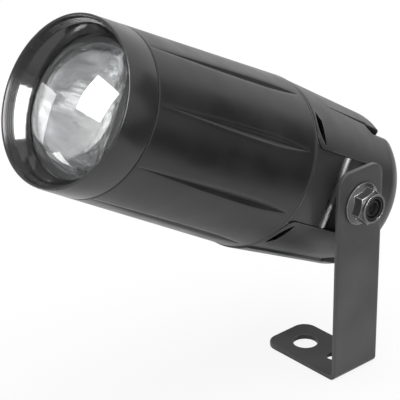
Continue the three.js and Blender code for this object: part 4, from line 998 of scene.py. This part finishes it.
def plain_patch(start, end, along_count, across_count):
    """A patch of the strip without a hole, as an even grid of (s, w)."""
    s, w = np.linspace(start, end, along_count + 1), np.linspace(-WIDTH / 2, WIDTH / 2, across_count + 1)
    s, w = np.meshgrid(s, w, indexing="ij")
    return np.stack([s.ravel(), w.ravel()], 1), grid_faces(along_count + 1, across_count + 1, False)


def ring_patch(start, end, middle, hole, start_corner, end_corner, across_count):
    """A patch of the strip with a round hole: straight rules from the hole's circle to the outline, whose
    corners are rounded where a radius is given.
    """
    half = WIDTH / 2
    outline = []
    corners = [(end, -half), (end, half), (start, half), (start, -half)]
    radii = [end_corner, end_corner, start_corner, start_corner]
    share = np.linspace(0, 1, across_count, endpoint=False)[:, None]
    for here, following in zip(corners, corners[1:] + corners[:1]):
        outline.append(mix(np.array(here, float), np.array(following, float), share))
    outline = np.concatenate(outline)
    for (cs, cw), radius in zip(corners, radii):
        if radius:
            centre = np.array([cs - math.copysign(radius, cs - middle), cw - math.copysign(radius, cw)])
            offset = outline - centre
            outside = (offset[:, 0] * (cs - middle) > 0) & (offset[:, 1] * cw > 0)
            reach = np.linalg.norm(offset, axis=1)
            outline[outside] = centre + offset[outside] * radius / reach[outside][:, None]
    offset = outline - np.array([middle, 0])
    angle = np.arctan2(offset[:, 1], offset[:, 0])
    circle = np.array([middle, 0]) + hole * np.stack([np.cos(angle), np.sin(angle)], 1)
    share = np.linspace(0, 1, 6)[None, :, None]
    points = mix(circle[:, None], outline[:, None], share)
    return points.reshape(-1, 2), grid_faces(len(outline), 6)


# Pivot fasteners

def make_nut():
    """r(a, x) is the soft greatest of the flange's cone, the hexagon cut by its top cone, and the collar."""
    steps = 192
    angle = full_turn(steps)
    top, collar_at = NUT_FROM + NUT_HEIGHT, NUT_FROM + NUT_HEIGHT - COLLAR_HEIGHT
    flange_edge = NUT_FROM + NUT_FLANGE_EDGE
    round_at = top - COLLAR_ROUND
    x = np.concatenate([np.linspace(NUT_FROM, collar_at, 60), np.linspace(collar_at, round_at, 8)[1:]])[None]
    side = hexagon(NUT_FLATS, angle - NUT_TURN)
    flange = NUT_FLANGE_R - np.maximum(x - flange_edge, 0) * (NUT_FLANGE_R - NUT_FLATS / 2) / NUT_FLANGE_RISE
    flange = flange - FLANGE_BLUNT * (1 - smooth((x - NUT_FROM) / FLANGE_BLUNT_OVER))
    cone = NUT_FLATS / 2 + NUT_CONE + (collar_at - NUT_CONE - x) * NUT_CONE_SLOPE
    hexed_part = np.where(x <= collar_at, soft_least(side, cone, HEX_BLUNT), COLLAR_R)
    radius = -soft_least(-hexed_part, -np.broadcast_to(flange, hexed_part.shape), NUT_HOLLOW)
    radius = np.maximum(radius, COLLAR_R)
    seat = top - INSERT_HEIGHT - 2 * GAP
    lip = rounded([
        (COLLAR_R, round_at, 0), (COLLAR_R, top, COLLAR_ROUND), (INSERT_R + GAP, top, 0.2),
        (INSERT_R + GAP, seat, 0), (BOLT_R + GAP, seat, 0), (BOLT_R + GAP, NUT_FROM, 0),
    ], closed=False, steps=4)
    points = np.concatenate([across(radius, x, angle), turned(lip, steps, across)], 1)
    piece = surface("flanged_nut", points, wrap_v=True)
    finish(piece, zinc_black, "black_zinc", "pivot_lock_nut", sharp=45)


def make_bolt():
    """A threaded shank r(a, x) = R - d t(x / pitch - a / 2 pi), t a triangular wave, and a hexagon head."""
    steps = 72
    angle = full_turn(steps)
    head_top = BLOCK_X - GAP
    head_end = head_top - BOLT_HEAD_HEIGHT
    end = NUT_FROM + NUT_HEIGHT - BOLT_SHORT
    x = np.linspace(head_top, end - 0.6, 170)[None]
    wave = np.abs(((x / THREAD_PITCH - angle / (2 * math.pi)) % 1) * 2 - 1)
    threaded = smooth((x - ARM_OUT) / 1.0)
    radius = BOLT_R - THREAD_DEPTH * wave * threaded
    head = rounded([
        (0, head_end, 0), (BOLT_HEAD_R, head_end, 0.3), (BOLT_HEAD_R, head_top, 0.3), (BOLT_R, head_top, 0),
    ], closed=False, steps=3)
    held = np.concatenate([head, np.ones((len(head), 1))], 1)
    tip = turned([
        (BOLT_R - 0.8, end - 0.05), (BOLT_R - 1.0, end), (BOLT_R - 1.3, end - 0.1), (BOLT_R - 1.8, end - 1.6),
        (0, end - 2.2),
    ], steps, across)
    points = np.concatenate([hexed(held, BOLT_FLATS, steps, across), across(radius, x, angle), tip], 1)
    piece = surface("pivot_bolt_body", points)
    finish(piece, bolt_black, "black_zinc", "pivot_bolt", sharp=50)


# Cable gland

def make_gland():
    """Turned profiles held within a hexagon where the third value is 1: the body with its flange and its two
    threads, the domed cap, and the rubber ring between them.
    """
    front = COVER_END - GAP
    rear = front - GLAND_FLANGE
    thread, tail = rear - GLAND_THREAD, front + GLAND_TAIL
    body = [
        (GLAND_R - 0.6, thread, 0), (GLAND_R, rear - 3.4, 0), (GLAND_R, rear, 0),
        (GLAND_FACE, rear, 1), (GLAND_CORNER, rear + 0.5, 1), (GLAND_CORNER, front - 0.4, 1),
        (GLAND_FACE, front, 1),
        (GLAND_R, front, 0), (GLAND_R, tail, 0), (GLAND_BORE, tail, 0), (GLAND_BORE, thread, 0),
    ]
    piece = surface("gland_flange", hexed(body, GLAND_FLATS), wrap_v=True)
    finish(piece, nylon_black, "black_nylon", "cable_gland_body")
    cap_front = rear - GAP
    cap_rear = cap_front - GLAND_CAP + 0.6
    cap_wall, bore = cap_rear + GLAND_WALL, CABLE_R + GAP
    outer = rounded([
        (GLAND_R - 0.8, cap_rear, 0), (GLAND_R + 1.1, cap_rear, 1.2), (GLAND_DOME, cap_rear + 4.2, 2.0),
        (GLAND_CORNER, cap_rear + 4.8, 0.3), (GLAND_CORNER, cap_front, 0.5), (GLAND_R + 1.0, cap_front, 0),
    ], closed=False, steps=5)
    inner = [(GLAND_R + GAP, cap_front), (GLAND_R + GAP, cap_wall), (bore, cap_wall), (bore, cap_rear + 0.3),
             (bore + 0.4, cap_rear)]
    profile = np.concatenate([outer, inner])
    held = np.concatenate([profile, (np.arange(len(profile)) < len(outer))[:, None]], 1)
    piece = surface("gland_dome_nut", hexed(held, GLAND_FLATS), wrap_v=True)
    finish(piece, nylon_black, "black_nylon", "gland_cap")
    seal = cap_wall + GAP
    ring("gland_rubber", CABLE_R, GLAND_R, seal, seal + SEAL_LENGTH, 0.4, rubber_black, "soft_rubber",
         "gland_seal")


# Optics inside

def make_reflector():
    """A parabola, whose radius grows with the square root of the share of its length, carried round the beam
    from the LED to the ring behind the lens.
    """
    share = np.linspace(0.0, 1, 40)
    radius = mix(REFLECTOR_THROAT, REFLECTOR_MOUTH, np.sqrt(share))
    inside = np.stack([radius, mix(REFLECTOR_BACK, RETAINER_BACK - GAP, share)], 1)
    outside = inside[::-1] + np.array([REFLECTOR_WALL, 0])
    piece = surface("spun_reflector", turned(np.concatenate([inside, outside]), 160), wrap_v=True)
    finish(piece, reflector_mirror, "mirror_coat", "reflector", sharp=60)


# Everything else keeps its CAD shape and gets its finish

CAD_FINISHES = {
    "heat_sink": aluminium_bare, "thermal_pad": pad_pink, "led_board": solder_white,
    "led_package": phosphor_yellow, "driver_board": solder_green, "driver_transformer": tape_yellow,
    "terminal_block": solder_white, "driver_capacitor": nylon_black, "gland_lock_nut": nylon_black,
}


def finish_cad_nodes():
    """Gives each CAD node its finish; the small screws inside are plain steel."""
    for name, node in frame["nodes"].items():
        material = CAD_FINISHES.get(name, steel_plain)
        node.data.materials.clear()
        node.data.materials.append(material)


# Studio

FLOOR_REACH, FLOOR_SEEN, FLOOR_MIRRORED, WORLD_LIGHT = 4000, 0.88, 0.4, 0.5
CARD_NEAR, CARD_FAR, CARD_RISE = (150, 0), (600, 600), 380
FOOT_CARD = [(-78, 29, 16), (-30, 84, 16), (-48, 100, 74), (-96, 45, 74)]
WHITE_SHEET, SHEET_GLOW = [(-271, -422, 1), (-107, -343, 1), (-107, -120, 1), (-271, -160, 1)], 9.0
OBJECT_MIDDLE, LENS_MIDDLE = (0, -0.02, 0.08), (0, -0.113, 0.143)


def seen_share(made, camera, mirrored):
    """A share that has one value for camera rays, another for mirrored or passed-through ones, and else 0."""
    ray = made.add("ShaderNodeLightPath").outputs
    inner = made.calculate("MAXIMUM", ray["Is Glossy Ray"], ray["Is Transmission Ray"])
    direct = made.calculate("MULTIPLY", ray["Is Camera Ray"], camera)
    scaled = made.calculate("MULTIPLY", inner, mirrored)
    return made.calculate("MAXIMUM", scaled, direct)


def set_piece(name, points, faces, material):
    """A piece of the set, not a part of the object."""
    piece = mesh_object(name, points, faces)
    piece.data.materials.append(material)
    return piece


def floor_material():
    """Pale and matt, and mostly white where the camera looks at it, with the shadow kept."""
    made = Recipe("studio_floor")
    glow = made.add("ShaderNodeEmission", Color=(1, 1, 1, 1))
    both = made.add("ShaderNodeMixShader")
    made.join(seen_share(made, FLOOR_SEEN, FLOOR_MIRRORED), both.inputs[0])
    made.join(made.shader.outputs[0], both.inputs[1])
    made.join(glow.outputs[0], both.inputs[2])
    made.join(both.outputs[0], made.tree.nodes["Material Output"].inputs["Surface"])
    return made.dress(Base_Color=(0.82, 0.82, 0.82), Roughness=0.9, Specular_IOR_Level=0.0)


def card_material():
    """Black card."""
    made = Recipe("dark_card")
    tint = made.blend(made.noise(20), (0.010, 0.010, 0.010), (0.014, 0.014, 0.014))
    return made.dress(Base_Color=tint, Specular_IOR_Level=0.0)


def sheet_material():
    """A white sheet that is brighter than the surroundings."""
    return Recipe("bright_sheet").dress(Base_Color=(0.8, 0.8, 0.8), Emission_Color=(1, 1, 1),
                                        Emission_Strength=SHEET_GLOW)


def studio_world():
    """White where the camera, a mirror or the glass sees it, and a plain grey as a light."""
    world = bpy.data.worlds.new("studio_world")
    bpy.context.scene.world = world
    made = Nodes(world)
    strength = made.add("ShaderNodeMapRange")
    made.join(seen_share(made, 1.0, 1.0), strength.inputs["Value"])
    strength.inputs["To Min"].default_value = WORLD_LIGHT
    background = made.tree.nodes["Background"]
    background.inputs["Color"].default_value = (1, 1, 1, 1)
    made.join(strength.outputs["Result"], background.inputs["Strength"])


def make_studio():
    """A pale floor, white surroundings and two soft lamps. For mirrored rays only, and without shadow or light:
    a dark card that darkens the barrel's side, a smaller one for the foot, a bright sheet and two softboxes.
    The last three show as the pale patch low in the lens, its white square and the crescent in the throat.
    """
    reach = FLOOR_REACH
    one_face = [(0, 1, 2, 3)]
    floor = [(-reach, -reach, 0), (reach, -reach, 0), (reach, reach, 0), (-reach, reach, 0)]
    set_piece("floor", floor, one_face, floor_material())
    (left, front), (right, back) = CARD_NEAR, CARD_FAR
    lying_and_standing = [(left, front, 1), (right, front, 1), (right, back, 1), (left, back, 1),
                          (right, back, CARD_RISE), (left, back, CARD_RISE)]
    black = card_material()
    card = set_piece("card", lying_and_standing, [(0, 1, 2, 3), (3, 2, 4, 5)], black)
    foot_card = set_piece("foot_card", FOOT_CARD, one_face, black)
    sheet = set_piece("sheet", WHITE_SHEET, one_face, sheet_material())
    for piece in (card, foot_card, sheet):
        piece.visible_camera = piece.visible_diffuse = piece.visible_shadow = piece.visible_transmission = False
    shine_on(sheet, "domed_lens", "bezel_ring")
    studio_world()
    # Each lamp's place, target and size in metres, and its power in watts
    lamp("top_softbox", (0.1, 0.2, 1.3), OBJECT_MIDDLE, 1.2, 14, mirrored=False)
    lamp("left_softbox", (-1.1, -0.7, 0.9), OBJECT_MIDDLE, 1.25, 7, mirrored=False)
    square = lamp("lens_softbox", (-0.190, -0.880, 0.775), LENS_MIDDLE, 0.61, 24, lights=False)
    square.visible_transmission = True
    shine_on(square, "domed_lens", "spun_reflector")
    strip = lamp("throat_softbox", (0.74, -0.158, 0.814), LENS_MIDDLE, 0.36, 38, lights=False, tall=1.3,
                 lean=-28)
    shine_on(strip, "domed_lens", "bezel_ring", "flanged_nut")


def lamp(name, place, target, size, power, mirrored=True, lights=True, tall=None, lean=0):
    """A soft lamp that looks at a target, and shows in mirrors, lights the object, or both."""
    light = bpy.data.lights.new(name, "AREA")
    light.shape, light.size, light.size_y, light.energy = "RECTANGLE", size, tall or size, power
    holder = linked(name, light)
    holder.location = place
    aim = (Vector(target) - Vector(place)).to_track_quat("-Z", "Y").to_matrix()
    holder.rotation_euler = (aim @ Matrix.Rotation(math.radians(lean), 3, "Z")).to_euler()
    holder.visible_camera, holder.visible_glossy = False, mirrored
    holder.visible_diffuse = holder.visible_transmission = lights
    return holder


def shine_on(light, *names):
    """Limits a light to some pieces, so that its mirror picture doesn't bleach rough plastic in other poses."""
    group = bpy.data.collections.new(light.name + "_pieces")
    for name in names:
        group.objects.link(bpy.data.objects[name])
    light.light_linking.receiver_collection = group


# Camera, fitted to the photograph

def make_camera():
    """Stands at an azimuth and elevation as seen from the object, rolled a little, and looks past the barrel.
    aside and above shift it, so that the object stands where the photograph has it.
    """
    focal_px, image_px, sensor = 1718.97, 400, 36.0
    elevation, azimuth, roll, distance = 0.4486, 0.8485, -0.0119, 751.70
    aside, above = -39.816, 60.240
    level = math.cos(elevation)
    back = Vector((math.sin(azimuth) * level, -math.cos(azimuth) * level, math.sin(elevation)))
    right = Vector((math.cos(azimuth), math.sin(azimuth), 0))
    up = back.cross(right)
    turned_right = math.cos(roll) * right + math.sin(roll) * up
    turned_up = -math.sin(roll) * right + math.cos(roll) * up
    place = (turned_right * aside + turned_up * above + back * distance) * MM
    data = bpy.data.cameras.new("camera")
    data.sensor_width, data.lens = sensor, focal_px / image_px * sensor
    data.clip_start, data.clip_end = 0.05, 50
    holder = linked("camera", data)
    facing = Matrix((turned_right, turned_up, back)).transposed().to_4x4()
    holder.matrix_world = Matrix.Translation(place) @ facing
    bpy.context.scene.camera = holder


make_camera()
finish_cad_nodes()
make_sleeve()
make_bezel()
make_lens()
ring("lens_gasket_ring", GASKET_BORE, SPIGOT_BORE - GAP, GASKET_BACK, GASKET_FRONT, 0.3, rubber_black,
     "soft_rubber", "lens_gasket")
ring("lens_retainer", RETAINER_BORE, SPIGOT_BORE - GAP, RETAINER_BACK, RETAINER_FRONT, 0.4, nylon_black,
     "black_nylon", "lens_retaining_ring")
make_cover()
make_cover_screws()
make_housing()
make_bracket()
make_nut()
ring("nut_nylon", BOLT_R + GAP / 2, INSERT_R, INSERT_END - INSERT_HEIGHT, INSERT_END, 0.3, nylon_black,
     "black_nylon", "nut_insert", about=across)
ring("pivot_washer", BOLT_R + GAP, WASHER_R, BOSS_FACE + GAP, BOSS_FACE + GAP + WASHER_THICK, 0.4, nylon_black,
     "black_nylon", "friction_washer", about=across)
make_bolt()
make_gland()
make_reflector()
make_studio()

bpy.context.scene.view_settings.view_transform = "Standard"
